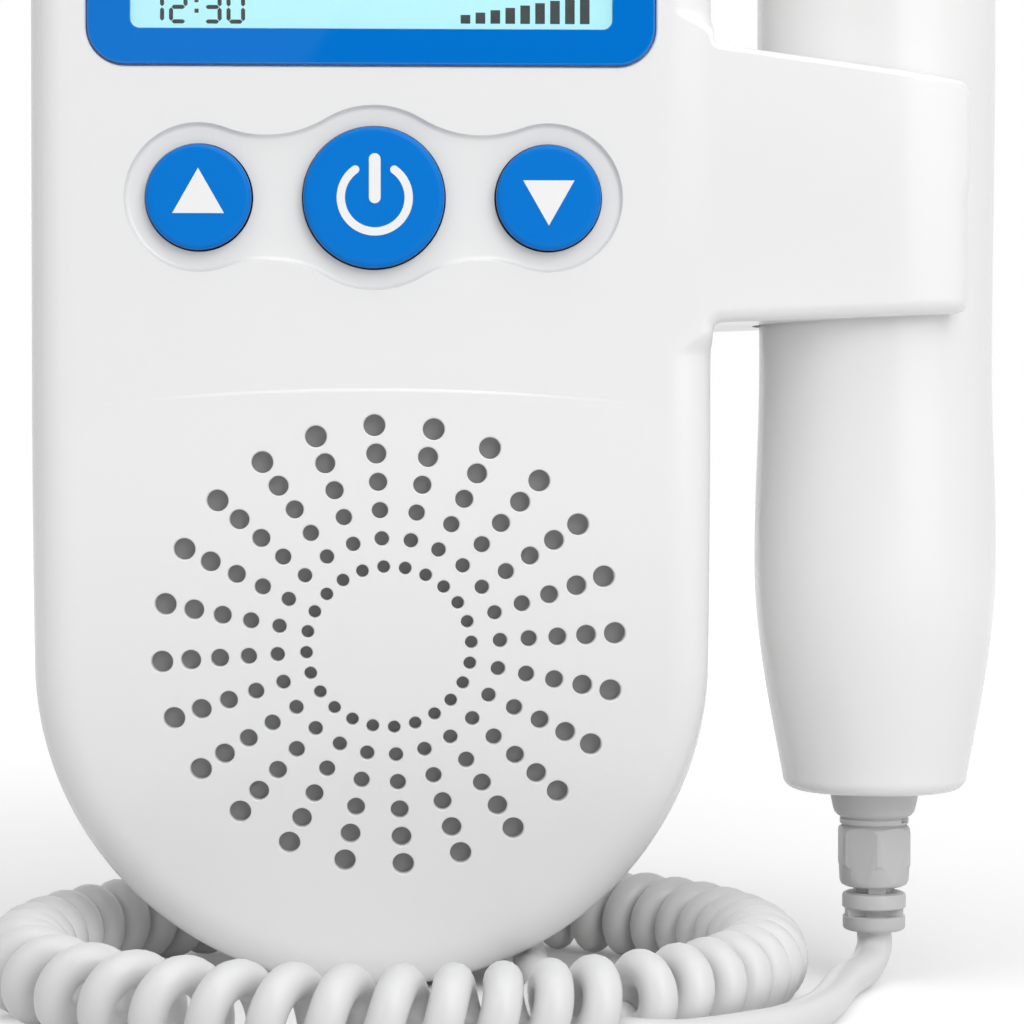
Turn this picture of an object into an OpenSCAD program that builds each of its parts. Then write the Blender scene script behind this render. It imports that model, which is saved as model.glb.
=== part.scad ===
// Handheld fetal doppler monitor, standing upright inside the ring of its own curly cord.
// The unit is a stadium-shaped housing of two moulded shells that join at y = 0. A C-shaped
// holder on its right side grips the probe. +Z is up and the display faces -Y.

/* [Housing] */
// Width of the housing, which is also the diameter of its round bottom
body_w = 71; // [66:1:76]
// Height of the housing
body_h = 142; // [139:1:150]
// Depth of the housing from face to back
body_d = 32; // [30:0.5:34]
// Wall thickness of both shells
wall = 2.2; // [1.8:0.1:2.6]
// Radius of the two top corners
corner_r = 16; // [12:1:20]
// Radius of the shallow arch along the top
top_arch_r = 120; // [90:5:200]
// Radius of the rounded edge round the face
face_edge_r = 4.5; // [3.5:0.5:6]
// Radius of the rounded edge round the back
back_edge_r = 8; // [7:0.5:9]
// Height of the crease where the face starts to curve back
crease_z = 64; // [62:1:67]
// Angle by which the face breaks backwards at the crease
crease_a = 1; // [0.5:0.1:2]
// Radius of the lower face, curved about a level axis
lower_face_r = 250; // [220:5:320]
// Height of the crease where the back starts to curve forward
back_crease_z = 56; // [52:1:58]
// Radius of the lower back, curved about a level axis
lower_back_r = 200; // [180:5:300]

/* [Speaker grille] */
// Spokes of holes in the grille
grille_spokes = 24; // [18:1:28]
// Holes along each spoke
grille_rings = 6; // [4:1:6]
// Radius of the innermost ring of holes
grille_r = 8.6; // [7:0.1:9]
// Distance from one ring of holes to the next
grille_step = 3; // [2.6:0.1:3.1]
// Diameter of the innermost holes
grille_hole_d = 1.3; // [1:0.1:1.5]
// What the hole diameter gains from one ring to the next
grille_hole_gain = 0.19; // [0.1:0.01:0.22]
// Offset of the grille's centre to the right of the housing's centre
grille_dx = 1.7; // [0:0.1:2]
// Height of the grille's centre
grille_z = 37.4; // [36:0.2:39]
// Outer diameter of the loudspeaker
speaker_d = 50; // [46:1:51]

/* [Display] */
// Width of the blue bezel
bezel_w = 58.6; // [54:0.2:60]
// Height of the blue bezel
bezel_h = 36; // [32:0.5:38]
// Distance from the top of the housing down to the bezel's lower edge
bezel_drop = 44.4; // [42:0.2:46]
// Corner radius of the bezel
bezel_r = 3.9; // [2:0.1:5]
// Thickness of the bezel
bezel_t = 1.2; // [1:0.1:1.4]
// How far the bezel stands proud of the face
bezel_proud = 0.2; // [0:0.05:0.4]
// Width of the visible display
lcd_w = 49.7; // [44:0.1:51]
// Height of the visible display
lcd_h = 28.4; // [24:0.1:29]
// Border of the bezel below the display
bezel_border = 3.8; // [3:0.1:4.5]

/* [Buttons] */
// Distance from the top of the housing down to the row of buttons
button_drop = 58; // [56:0.5:60]
// Distance from the power button to each arrow button
button_gap = 18.2; // [17:0.1:19]
// Diameter of the two arrow buttons
arrow_d = 10.9; // [9:0.1:11.5]
// Diameter of the power button
power_d = 14.6; // [12:0.1:15.5]
// How far the buttons stand proud of the face
button_proud = 0.9; // [0.6:0.1:1.4]
// Travel of a button
button_travel = 0.8; // [0.4:0.1:1]
// Depth of the wavy recess round the buttons
recess_t = 0.6; // [0.4:0.1:0.8]
// Margin of the recess round every button
recess_margin = 2.2; // [1.5:0.1:2.6]
// Radius of the hollows in the recess's wavy outline
recess_wave_r = 12; // [8:0.5:20]

/* [Probe and holder] */
// Distance from the housing's centre to the probe's axis
probe_dx = 54.6; // [53:0.2:58]
// Radius of the probe where the fingers hold it, its thickest below the head
probe_r = 13.1; // [12:0.1:13.4]
// Radius of the waist above the thickest place
waist_r = 12.6; // [11.5:0.1:12.9]
// Radius of the transducer head
head_r = 17.2; // [16.5:0.1:18]
// Height of the probe's lower end above the floor
probe_z = 21; // [19:0.5:22]
// Length of the probe with its head
probe_l = 131; // [124:1:140]
// Wall thickness of the probe's handle
probe_wall = 2; // [1.5:0.1:2.4]
// Clearance between the probe and the holder's fingers
holder_clear = 0.3; // [0.2:0.05:0.5]
// Height of the holder's lower edge at the housing
holder_z = 71.2; // [69:0.2:73]
// Height of the holder, bottom to top, at the housing
holder_h = 28.8; // [26:0.2:30]
// What the holder's top edge loses towards its tip
holder_drop = 3.4; // [2:0.2:5]
// What the holder's lower edge rises towards its tip
holder_rise = 1; // [0:0.2:2]
// Half angle of the holder's mouth, from the probe's axis
mouth_angle = 60; // [50:1:66]

/* [Cord] */
// Diameter of the cord
cord_d = 3.8; // [3.6:0.1:3.9]
// Outer diameter of the curly section
curl_d = 9.8; // [9.6:0.1:10.4]
// Radius of the ring that the curly section lies in
ring_r = 37.8; // [37.2:0.1:38.2]

/* [Hidden] */
$fn = 96;

// Shades of the real pieces
white = [0.95, 0.95, 0.95];
blue = [0.04, 0.46, 0.83];
grey = [0.78, 0.78, 0.78];

// Clearance of pieces that seat in one another, and overlap of cutters past a face
seat = 0.1;
past = 1;

// The housing's centre line is left of the origin, so that the origin lies under the middle
// of the housing and the probe's head together.
body_r = body_w / 2;
body_x = (body_r - probe_dx - head_r) / 2;
half_d = body_d / 2;
face_y = -half_d;
inner_y = face_y + wall;
probe_x = body_x + probe_dx;

// ---- Housing outline -------------------------------------------------------------------
// Each point of the right half is [x, z, nx, nz]: a place on the outline and its outward
// normal. Arcs meet tangentially, so that any inset of the outline stays smooth.
arch_a = acos((body_r - corner_r) / (top_arch_r - corner_r));
arch_z = body_h - top_arch_r;
corner_x = body_r - corner_r;
corner_z = arch_z + (top_arch_r - corner_r) * sin(arch_a);
bottom_steps = 18;
curve_steps = 4;
corner_steps = 6;
arch_steps = 3;

function arc_point(cx, cz, r, a) = [cx + r * cos(a), cz + r * sin(a), cos(a), sin(a)];
right_half = concat(
    [for (i = [0 : bottom_steps]) arc_point(0, body_r, body_r, -90 + 90 * i / bottom_steps)],
    [for (i = [1 : curve_steps])
        [body_r, body_r + (crease_z - body_r) * i / curve_steps, 1, 0]],
    [for (i = [0 : corner_steps - 1])
        arc_point(corner_x, corner_z, corner_r, arch_a * i / corner_steps)],
    [for (i = [0 : arch_steps])
        arc_point(0, arch_z, top_arch_r, arch_a + (90 - arch_a) * i / arch_steps)]);
last = len(right_half) - 1;
loop_n = 2 * last;

function mirrored(p) = [-p[0], p[1], -p[2], p[3]];
function outline(i) = i <= last ? right_half[i] : mirrored(right_half[loop_n - i]);

// How far a face lies behind its upper, flat part at height z. bend is [crease, radius].
function face_set(z, bend) =
    let (down = max(0, bend[0] - z))
    down * tan(crease_a) + bend[1] - sqrt(bend[1] * bend[1] - down * down);
front_bend = [crease_z, lower_face_r];
back_bend = [back_crease_z, lower_back_r];

// One point of a layer: the outline inset by e, at depth t below the face
function layer_point(p, e, t, bend) =
    let (z = p[1] - e * p[3])
    [p[0] - e * p[2], face_y + t + face_set(z, bend), z];

// Half of the housing's form, from the plane y = base to the face. The whole form is inset
// by skin on every side, which gives the cavity too. The face's edge has radius r.
module half_form(skin, r, base, bend, edge_steps) {
    arcs = [for (k = [0 : edge_steps])
        [skin + r * (1 - cos(90 * k / edge_steps)), skin + r * (1 - sin(90 * k / edge_steps))]];
    points = concat(
        [for (i = [0 : loop_n - 1])
            let (p = outline(i)) [p[0] - skin * p[2], base, p[1] - skin * p[3]]],
        [for (a = arcs) for (i = [0 : loop_n - 1]) layer_point(outline(i), a[0], a[1], bend)]);
    top = (edge_steps + 1) * loop_n;
    faces = concat(
        [[for (i = [0 : loop_n - 1]) i]],
        [for (k = [0 : edge_steps]) for (i = [0 : loop_n - 1])
            let (a = k * loop_n + i, b = k * loop_n + (i + 1) % loop_n)
            each [[a, a + loop_n, b + loop_n], [a, b + loop_n, b]]],
        [[top, top + loop_n - 1, top + 1]],
        [for (i = [1 : last - 2])
            [top + i, top + loop_n - i, top + loop_n - i - 1, top + i + 1]],
        [[top + last - 1, top + last + 1, top + last]]);
    polyhedron(points, faces, convexity = 6);
}

// The two half forms in the housing's own place
module front_form(skin, r, base, steps) {
    translate([body_x, 0, 0]) half_form(skin, r, base, front_bend, steps);
}
module back_form(skin, r, base, steps) {
    translate([body_x, 0, 0]) mirror([0, 1, 0]) half_form(skin, r, base, back_bend, steps);
}

// ---- Helpers ---------------------------------------------------------------------------
// A cylinder along +Y from y0 to y1
module rod_y(r, y0, y1) {
    translate([0, y0, 0]) rotate([-90, 0, 0]) cylinder(r = r, h = y1 - y0);
}
module tube_y(r, bore, y0, y1) {
    difference() {
        rod_y(r, y0, y1);
        rod_y(bore, y0 - past, y1 + past);
    }
}
// A cylinder along +X
module rod_x(r, x0, x1) {
    translate([x0, 0, 0]) rotate([0, 90, 0]) cylinder(r = r, h = x1 - x0);
}
// An outline drawn in x and z, made solid from y0 to y1
module plate_y(y0, y1) {
    translate([0, y1, 0]) rotate([90, 0, 0]) linear_extrude(y1 - y0) children();
}
// A rectangle with its lower edge at z = 0, centred in x, with round corners
module round_rect(w, h, r) {
    translate([0, h / 2]) {
        square([w - 2 * r, h], center = true);
        square([w, h - 2 * r], center = true);
        for (sx = [-1, 1]) for (sz = [-1, 1])
            translate([sx * (w / 2 - r), sz * (h / 2 - r)]) circle(r);
    }
}
module block(w, y0, y1, z0, z1) {
    translate([-w / 2, y0, z0]) cube([w, y1 - y0, z1 - z0]);
}

// Everything on the front (-1) or the back (1) side of the plane where the shells join
module side_of_parting(side) {
    reach = 2 * body_h;
    translate([-reach, side < 0 ? -reach : 0, -past]) cube([2 * reach, reach, reach]);
}

// ---- Lip where the shells join -----------------------------------------------------------
// The back shell's inner half of the wall runs on past the join, into a rebate of the front
// shell that is larger by grow on every side.
lip_h = 1.4;
module inset_outline(e) {
    polygon([for (i = [0 : loop_n - 1]) let (p = outline(i)) [p[0] - e * p[2], p[1] - e * p[3]]]);
}
module lip(grow, end_y) {
    translate([body_x, 0, 0]) plate_y(-lip_h - grow, end_y) difference() {
        inset_outline(wall / 2 + seat - grow);
        inset_outline(wall + grow);
    }
}

// ---- Case screws and bosses ------------------------------------------------------------
screw_r = 1;
screw_clear = 0.4;
screw_head_r = 2.5;
screw_head_t = 1.6;
screw_head_clear = 0.2;
boss_r = 3.2;
low_screw_inset = 11;
low_screw_z = 19.5;
high_screw_inset = 11.5;
high_screw_drop = 7;
low_screw = [body_r - low_screw_inset, low_screw_z];
high_screw = [body_r - high_screw_inset, body_h - high_screw_drop];
screw_places = [for (s = [-1, 1]) for (p = [low_screw, high_screw]) [s * p[0], p[1]]];
screw_seat_y = 6;
screw_end_y = -9;

module at_case_screws() {
    for (p = screw_places) translate([body_x + p[0], 0, p[1]]) children();
}

// ---- Display stack ---------------------------------------------------------------------
bezel_z = body_h - bezel_drop;
bezel_y = face_y - bezel_proud;
bezel_back_y = bezel_y + bezel_t;
lcd_z = bezel_z + bezel_border;
window_margin = 1;
panel_margin = 1.6;
panel_t = 2.8;
backlight_t = 2;
board_y = inner_y + panel_t + backlight_t;
board_t = 1.6;
board_side_gap = 5;
board_w = body_w - 2 * board_side_gap;
button_z = body_h - button_drop;
board_below_buttons = 16;
board_top_gap = 8;
board_z0 = button_z - board_below_buttons;
board_z1 = body_h - board_top_gap;
board_corner_r = 8;
board_screw_inset = 6.9;
board_screw_dx = body_r - board_screw_inset;
board_screw_low = 6;
board_screw_high = 22;
board_screw_z = [board_z0 + board_screw_low, board_z1 - board_screw_high];
board_screw_r = 0.9;
board_screw_l = 2.8;
board_screw_head_r = 1.7;
board_screw_head_t = 1.3;
board_hole_r = 1.3;
standoff_r = 1.8;

module at_board_screws() {
    for (s = [-1, 1]) for (z = board_screw_z)
        translate([body_x + s * board_screw_dx, 0, z]) children();
}

// ---- Buttons ---------------------------------------------------------------------------
button_clear = 0.25;
flange_extra = 0.8;
flange_t = 0.8;
flange_gap = 0.15;
stem_r = 2;
switch_h = 2.5;
stem_end_y = board_y - switch_h - button_travel - seat;
button_edge_r = 0.5;
arrow_r = arrow_d / 2;
power_r = power_d / 2;

// Outline of the wavy recess: a lobe round each button, and between two lobes a hollow arc
// that touches both of them
arrow_lobe_r = arrow_r + recess_margin;
power_lobe_r = power_r + recess_margin;
wave_x = (button_gap * button_gap + pow(power_lobe_r + recess_wave_r, 2)
          - pow(arrow_lobe_r + recess_wave_r, 2)) / (2 * button_gap);
wave_z = sqrt(pow(power_lobe_r + recess_wave_r, 2) - wave_x * wave_x);
module recess_outline() {
    circle(power_lobe_r);
    for (sx = [0, 1]) mirror([sx, 0]) {
        translate([button_gap, 0]) circle(arrow_lobe_r);
        for (sz = [0, 1]) mirror([0, sz]) difference() {
            polygon([[0, -1], [button_gap, -1], [button_gap, 0], [wave_x, wave_z], [0, 0]]);
            translate([wave_x, wave_z]) circle(recess_wave_r);
        }
    }
}

// A round cap that fills its hole, with a flange inside the wall and a stem to its switch
module button_cap(r) {
    rotate([90, 0, 0]) rotate_extrude() polygon(concat(
        [[0, -stem_end_y], [stem_r, -stem_end_y],
         [stem_r, -inner_y - flange_gap - flange_t],
         [r + flange_extra, -inner_y - flange_gap - flange_t],
         [r + flange_extra, -inner_y - flange_gap], [r, -inner_y - flange_gap]],
        [for (k = [0 : 4]) [r - button_edge_r * (1 - cos(k * 22.5)),
                            half_d + button_proud - button_edge_r * (1 - sin(k * 22.5))]],
        [[0, half_d + button_proud]]));
}
module button_hole(r) {
    rod_y(r + button_clear, face_y - past, inner_y + past);
}

// ---- Speaker ---------------------------------------------------------------------------
speaker_r = speaker_d / 2;
speaker_y = -7.2;
mesh_t = 0.3;
seat_ring_t = 1.4;
speaker_rim_t = 1.2;
basket_t = 7;
basket_inset = 2;
basket_wall = 0.8;
basket_hole_r = 6;
cone_inset = 2.8;
cone_coil_r = 5.5;
cone_l = 6.2;
cone_t = 0.6;
magnet_r = 11;
magnet_t = 5.5;
speaker_back_y = speaker_y + speaker_rim_t + basket_t;

module at_grille() {
    translate([body_x + grille_dx, 0, grille_z]) children();
}
module grille_holes() {
    for (k = [0 : grille_rings - 1]) for (j = [0 : grille_spokes - 1])
        rotate([0, -(j + 0.24) * 360 / grille_spokes, 0])
            translate([grille_r + k * grille_step, 0, 0])
                rotate([-90, 0, 0]) translate([0, 0, face_y - past])
                    cylinder(d = grille_hole_d + k * grille_hole_gain,
                             h = half_d, $fn = 24);
}

// ---- Battery bay -----------------------------------------------------------------------
cell_r = 7.25;
cell_l = 50.5;
cell_gap = 0.5;
bay_wall = 1.5;
bay_w = 4 * cell_r + 3 * cell_gap;
bay_above_grille = 24.6;
contact_room = 3;
bay_z0 = grille_z + bay_above_grille;
bay_z1 = bay_z0 + cell_l + 2 * contact_room;
door_t = 2.2;
door_gap = 0.3;
door_lap = 1.2;
door_w = bay_w + 2 * door_lap;
door_end_lap = 2;
door_z0 = bay_z0 - door_end_lap;
door_z1 = bay_z1 + door_end_lap;
cell_y = half_d - door_t - door_gap - cell_r;
bay_y = cell_y - cell_r - door_gap;
tub_w = door_w + 2 * door_gap + 2 * bay_wall;
tub_z0 = door_z0 - door_gap - bay_wall;
tub_z1 = door_z1 + door_gap + bay_wall;
pin_r = 0.7;
pin_l = 1.2;
pin_clear = 0.1;
pin_end_gap = 0.4;
thumb_notch_r = 4.2;
thumb_notch_t = 1.2;
thumb_notch_w = 8;
pin_y = half_d - door_t / 2;
pin_z = door_z0 + door_t / 2;

// Grooves that the thumb pushes on, across the door's upper end
grip_grooves = 4;
grip_pitch = 2;
grip_drop = 6;
grip_r = 0.5;
grip_w = 14;

// ---- Holder ----------------------------------------------------------------------------
bore_r = probe_r + holder_clear;
holder_r = half_d;
junction_r = 0.8;
tip_r = 1.6;

// Plan of the holder, seen from above: a block that turns into a round C about the probe
module holder_plan() {
    difference() {
        union() {
            translate([body_x + body_r - wall - face_edge_r, -half_d])
                square([probe_dx - body_r + wall + face_edge_r, body_d]);
            translate([probe_x, 0]) circle(holder_r);
        }
        translate([probe_x, 0]) {
            circle(bore_r);
            polygon([[0, 0], 3 * holder_r * [cos(mouth_angle), -sin(mouth_angle)],
                     3 * holder_r * [cos(mouth_angle), sin(mouth_angle)]]);
        }
    }
}
// Front view of the holder: it tapers towards its tip, where its corners are round, and
// flares into the housing's side.
module holder_view() {
    inside_x = body_x + body_r - wall - face_edge_r;
    flare_x = body_x + body_r + junction_r;
    tip_x = probe_x + holder_r * cos(mouth_angle);
    top_z = holder_z + holder_h;
    tip_z0 = holder_z + holder_rise;
    tip_z1 = top_z - holder_drop;
    difference() {
        polygon([[inside_x, holder_z - junction_r], [flare_x, holder_z - junction_r],
                 [flare_x, holder_z], [tip_x - tip_r, tip_z0], [tip_x, tip_z0 + tip_r],
                 [tip_x, tip_z1 - tip_r], [tip_x - tip_r, tip_z1], [flare_x, top_z],
                 [flare_x, top_z + junction_r], [inside_x, top_z + junction_r]]);
        translate([flare_x, holder_z - junction_r]) circle(junction_r);
        translate([flare_x, top_z + junction_r]) circle(junction_r);
    }
    translate([tip_x - tip_r, tip_z0 + tip_r]) circle(tip_r);
    translate([tip_x - tip_r, tip_z1 - tip_r]) circle(tip_r);
}
module holder() {
    intersection() {
        translate([0, 0, holder_z - 5]) linear_extrude(holder_h + 10) holder_plan();
        plate_y(-half_d - past, half_d + past) holder_view();
    }
}

// ---- Shells ----------------------------------------------------------------------------
module front_shell() {
    color(white) difference() {
        union() {
            difference() {
                union() {
                    front_form(0, face_edge_r, 0, 5);
                    intersection() {
                        holder();
                        side_of_parting(-1);
                    }
                }
                front_form(wall, face_edge_r - wall, past, 3);
            }
            intersection() {
                union() {
                    at_case_screws() rod_y(boss_r, face_y, -seat);
                    at_grille() tube_y(speaker_r + seat_ring_t, speaker_r + seat,
                                       face_y, speaker_y + speaker_rim_t);
                    at_board_screws() rod_y(standoff_r, face_y, board_y);
                }
                front_form(wall / 2, face_edge_r - wall / 2, past, 3);
            }
        }
        lip(seat, past);
        at_case_screws() rod_y(screw_r, screw_end_y - screw_clear, past);
        at_board_screws() rod_y(board_screw_r, board_y - board_screw_l - seat, board_y + past);
        at_grille() grille_holes();
        translate([body_x, 0, bezel_z])
            plate_y(face_y - past, bezel_back_y) round_rect(bezel_w + 2 * seat, bezel_h, bezel_r);
        translate([body_x, 0, lcd_z - window_margin]) plate_y(face_y - past, inner_y + past)
            round_rect(lcd_w + 2 * window_margin + 2 * seat,
                       lcd_h + 2 * window_margin + seat, 1.5);
        translate([body_x, 0, button_z]) {
            plate_y(face_y - past, face_y + recess_t) recess_outline();
            button_hole(power_r);
            for (s = [-1, 1]) translate([s * button_gap, 0, 0]) button_hole(arrow_r);
        }
    }
}

module back_shell() {
    color(white) difference() {
        union() {
            difference() {
                union() {
                    back_form(0, back_edge_r, 0, 6);
                    intersection() {
                        holder();
                        side_of_parting(1);
                    }
                }
                back_form(wall, back_edge_r - wall, past, 4);
            }
            lip(0, 0);
            intersection() {
                at_case_screws() rod_y(boss_r, 0, half_d);
                back_form(wall / 2, back_edge_r - wall / 2, 0, 4);
            }
            translate([body_x, 0, 0])
                block(tub_w, bay_y - bay_wall, half_d - wall / 2, tub_z0, tub_z1);
        }
        translate([body_x, 0, 0]) {
            block(bay_w, bay_y, half_d + past, bay_z0, bay_z1);
            block(door_w + 2 * door_gap, half_d - door_t - door_gap, half_d + past,
                  door_z0 - door_gap, door_z1 + door_gap);
            translate([0, pin_y, pin_z])
                rod_x(pin_r + pin_clear, -door_w / 2 - pin_l - pin_end_gap,
                      door_w / 2 + pin_l + pin_end_gap);
            translate([0, half_d + thumb_notch_r - thumb_notch_t, door_z1])
                rod_x(thumb_notch_r, -thumb_notch_w / 2, thumb_notch_w / 2);
        }
        at_case_screws() rod_y(screw_r + screw_clear, -past, half_d);
        at_case_screws() rod_y(screw_head_r + screw_head_clear, screw_seat_y, half_d + past);
        translate([grommet_x, 0, grommet_z]) {
            rod_y(grommet_r, grommet_y - wall - 2 * past, half_d);
            rod_y(grommet_flange_r + seat, grommet_y, half_d);
        }
        translate([body_x + socket_dx, socket_y, socket_top - socket_collar_l - past])
            cylinder(r = socket_collar_r + seat, h = socket_collar_l + 3 * past);
    }
}

module battery_door() {
    color(white) translate([body_x, 0, 0]) {
        difference() {
            union() {
                block(door_w, half_d - door_t, half_d, pin_z, door_z1);
                translate([0, pin_y, pin_z]) rod_x(door_t / 2, -door_w / 2, door_w / 2);
            }
            for (k = [0 : grip_grooves - 1])
                translate([0, half_d, door_z1 - grip_drop - grip_pitch * k])
                    rod_x(grip_r, -grip_w / 2, grip_w / 2);
        }
        translate([0, pin_y, pin_z])
            rod_x(pin_r, -door_w / 2 - pin_l, door_w / 2 + pin_l);
    }
}

// ---- Display ---------------------------------------------------------------------------
module lcd_bezel() {
    color(blue) translate([body_x, 0, 0]) plate_y(bezel_y, bezel_back_y) difference() {
        translate([0, bezel_z + seat]) round_rect(bezel_w, bezel_h - 2 * seat, bezel_r);
        translate([0, lcd_z]) round_rect(lcd_w, lcd_h, 1);
    }
}
module lcd_window() {
    color([0.8, 0.95, 0.97, 0.5]) translate([body_x, 0, lcd_z - window_margin + seat])
        plate_y(bezel_back_y, inner_y)
            round_rect(lcd_w + 2 * window_margin, lcd_h + 2 * window_margin - seat, 1.4);
}
module lcd_panel() {
    color([0.74, 0.96, 0.98]) translate([body_x, 0, 0])
        block(lcd_w + 2 * panel_margin, inner_y, inner_y + panel_t,
              lcd_z - panel_margin, lcd_z + lcd_h + panel_margin);
}
module lcd_backlight() {
    color([0.9, 0.93, 0.9]) translate([body_x, 0, 0])
        block(lcd_w, inner_y + panel_t, board_y, lcd_z, lcd_z + lcd_h);
}

// ---- Electronics -----------------------------------------------------------------------
module main_board() {
    color([0.1, 0.42, 0.22]) difference() {
        translate([body_x, 0, 0]) plate_y(board_y, board_y + board_t)
            translate([0, board_z0]) round_rect(board_w, board_z1 - board_z0, board_corner_r);
        at_board_screws() rod_y(board_hole_r, board_y - past, board_y + board_t + past);
        at_case_screws() rod_y(boss_r + 0.5, board_y - past, board_y + board_t + past);
    }
}
module tact_switches() {
    for (s = [-1, 0, 1]) translate([body_x + s * button_gap, 0, button_z]) {
        color([0.15, 0.15, 0.15]) block(6, board_y - 1.8, board_y, -3, 3);
        color([0.15, 0.15, 0.15]) rod_y(1.6, board_y - switch_h, board_y);
    }
}
module button_up() {
    color(blue) translate([body_x - button_gap, 0, button_z]) button_cap(arrow_r);
}
module button_power() {
    color(blue) translate([body_x, 0, button_z]) button_cap(power_r);
}
module button_down() {
    color(blue) translate([body_x + button_gap, 0, button_z]) button_cap(arrow_r);
}

// ---- Loudspeaker -----------------------------------------------------------------------
module speaker_mesh() {
    color([0.25, 0.25, 0.26]) at_grille() rod_y(speaker_r - 0.3, speaker_y - mesh_t, speaker_y);
}
module speaker_frame() {
    color([0.35, 0.35, 0.37]) at_grille() difference() {
        union() {
            rod_y(speaker_r, speaker_y, speaker_y + speaker_rim_t);
            translate([0, speaker_y + speaker_rim_t, 0]) rotate([-90, 0, 0])
                cylinder(r1 = speaker_r - basket_inset, r2 = magnet_r + basket_inset, h = basket_t);
        }
        translate([0, speaker_y - 0.01, 0]) rotate([-90, 0, 0])
            cylinder(r1 = speaker_r - basket_inset, r2 = magnet_r,
                     h = speaker_rim_t + basket_t - basket_wall);
        rod_y(basket_hole_r, speaker_y, speaker_y + speaker_rim_t + basket_t + past);
    }
}
module speaker_cone() {
    color([0.12, 0.12, 0.12]) at_grille() difference() {
        translate([0, speaker_y + cone_t / 2, 0]) rotate([-90, 0, 0])
            cylinder(r1 = speaker_r - cone_inset, r2 = cone_coil_r, h = cone_l);
        translate([0, speaker_y - cone_t / 2, 0]) rotate([-90, 0, 0])
            cylinder(r1 = speaker_r - cone_inset, r2 = cone_coil_r, h = cone_l);
    }
}
module speaker_magnet() {
    color([0.55, 0.55, 0.58]) at_grille()
        rod_y(magnet_r, speaker_back_y, speaker_back_y + magnet_t);
}

// ---- Battery ---------------------------------------------------------------------------
cell_z = bay_z0 + contact_room;
// A cell in the left (-1) or right (1) half of the bay. Its positive tip points up on the
// right and down on the left.
module battery_cell(side) {
    translate([body_x + side * (cell_r + cell_gap / 2), cell_y, cell_z + cell_l / 2])
        rotate([side > 0 ? 0 : 180, 0, 0]) {
            color([0.2, 0.22, 0.25]) translate([0, 0, -cell_l / 2])
                cylinder(r = cell_r, h = cell_l - 1);
            color([0.8, 0.8, 0.8]) translate([0, 0, cell_l / 2 - 1])
                cylinder(r = 2.75, h = 1);
        }
}
module battery_cell_left() { battery_cell(-1); }
module battery_cell_right() { battery_cell(1); }

plate_t = 0.4;
contact_w = 10;
contact_d = 11;
spring_r = 3;
module battery_plates() {
    for (s = [-1, 1]) for (e = [0, 1])
        color([0.85, 0.85, 0.8])
            translate([body_x + s * (cell_r + cell_gap / 2), cell_y,
                       e == 0 ? bay_z0 : bay_z1 - plate_t])
                linear_extrude(plate_t) square([contact_w, contact_d], center = true);
}
// Each spring is drawn as a hollow cone, at its cell's negative end
module battery_springs() {
    for (s = [-1, 1])
        translate([body_x + s * (cell_r + cell_gap / 2), cell_y,
                   s > 0 ? bay_z0 + plate_t : bay_z1 - plate_t])
            mirror([0, 0, s > 0 ? 0 : 1])
                color([0.8, 0.8, 0.8]) difference() {
                    cylinder(r1 = spring_r + 1, r2 = spring_r, h = contact_room - plate_t);
                    translate([0, 0, -past])
                        cylinder(r = spring_r - 0.8, h = contact_room + past);
                }
}

// ---- Fasteners -------------------------------------------------------------------------
module case_screws() {
    color([0.6, 0.6, 0.62]) at_case_screws() difference() {
        union() {
            rod_y(screw_head_r, screw_seat_y, screw_seat_y + screw_head_t);
            rod_y(screw_r, screw_end_y, screw_seat_y);
        }
        for (a = [0, 90]) rotate([0, a, 0])
            block(0.6, screw_seat_y + 0.8, screw_seat_y + screw_head_t + past, -1.5, 1.5);
    }
}
module board_screws() {
    color([0.6, 0.6, 0.62]) at_board_screws() {
        rod_y(board_screw_head_r, board_y + board_t, board_y + board_t + board_screw_head_t);
        rod_y(board_screw_r, board_y - board_screw_l, board_y + board_t);
    }
}

// ---- Earphone socket, in the top edge ----------------------------------------------------
socket_dx = -14;
socket_y = 7;
socket_bore_r = 1.8;
socket_collar_r = 3;
socket_collar_l = 4;
socket_body_w = 6.4;
socket_end_t = 1;
socket_l = 14;
socket_top = body_h - 1.3;
module earphone_socket() {
    color([0.15, 0.15, 0.16]) translate([body_x + socket_dx, socket_y, 0]) difference() {
        union() {
            translate([0, 0, socket_top - socket_collar_l])
                cylinder(r = socket_collar_r, h = socket_collar_l);
            block(socket_body_w, -socket_body_w / 2, socket_body_w / 2,
                  socket_top - socket_l, socket_top - socket_collar_l);
        }
        translate([0, 0, socket_top - socket_l + socket_end_t])
            cylinder(r = socket_bore_r, h = socket_l);
    }
}

// ---- Probe -----------------------------------------------------------------------------
// Heights above the floor of the stations along the handle
swell_z = probe_z + 25;
waist_z = probe_z + 46;
neck_z = probe_z + 79;
head_z = probe_z + 99;
taper_span = 40;
taper_drop = 4.9;
neck_swell = 0.25;
probe_end_r = 1.2;
head_end_z = probe_z + probe_l;
// The head's rim, and the seat of the lens inside it
head_rim_l = 10;
rim_side_l = 3;
rim_edge = 0.8;
rim_top_drop = 2.2;
rim_t = 1.6;
lens_seat_drop = 9;
lens_drop = 4.5;
lens_edge_r = 1.5;
head_wall = 1.3;
spigot_l = 4;
crystal_t = 2;
crystal_r = head_r - 6.2;
crystal_gap = 0.8;
crystal_z = head_end_z - lens_drop - crystal_t;
probe_board_w = 2 * (waist_r - probe_wall) - 4.2;
probe_board_t = 1.6;
probe_board_lift = 12;

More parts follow.
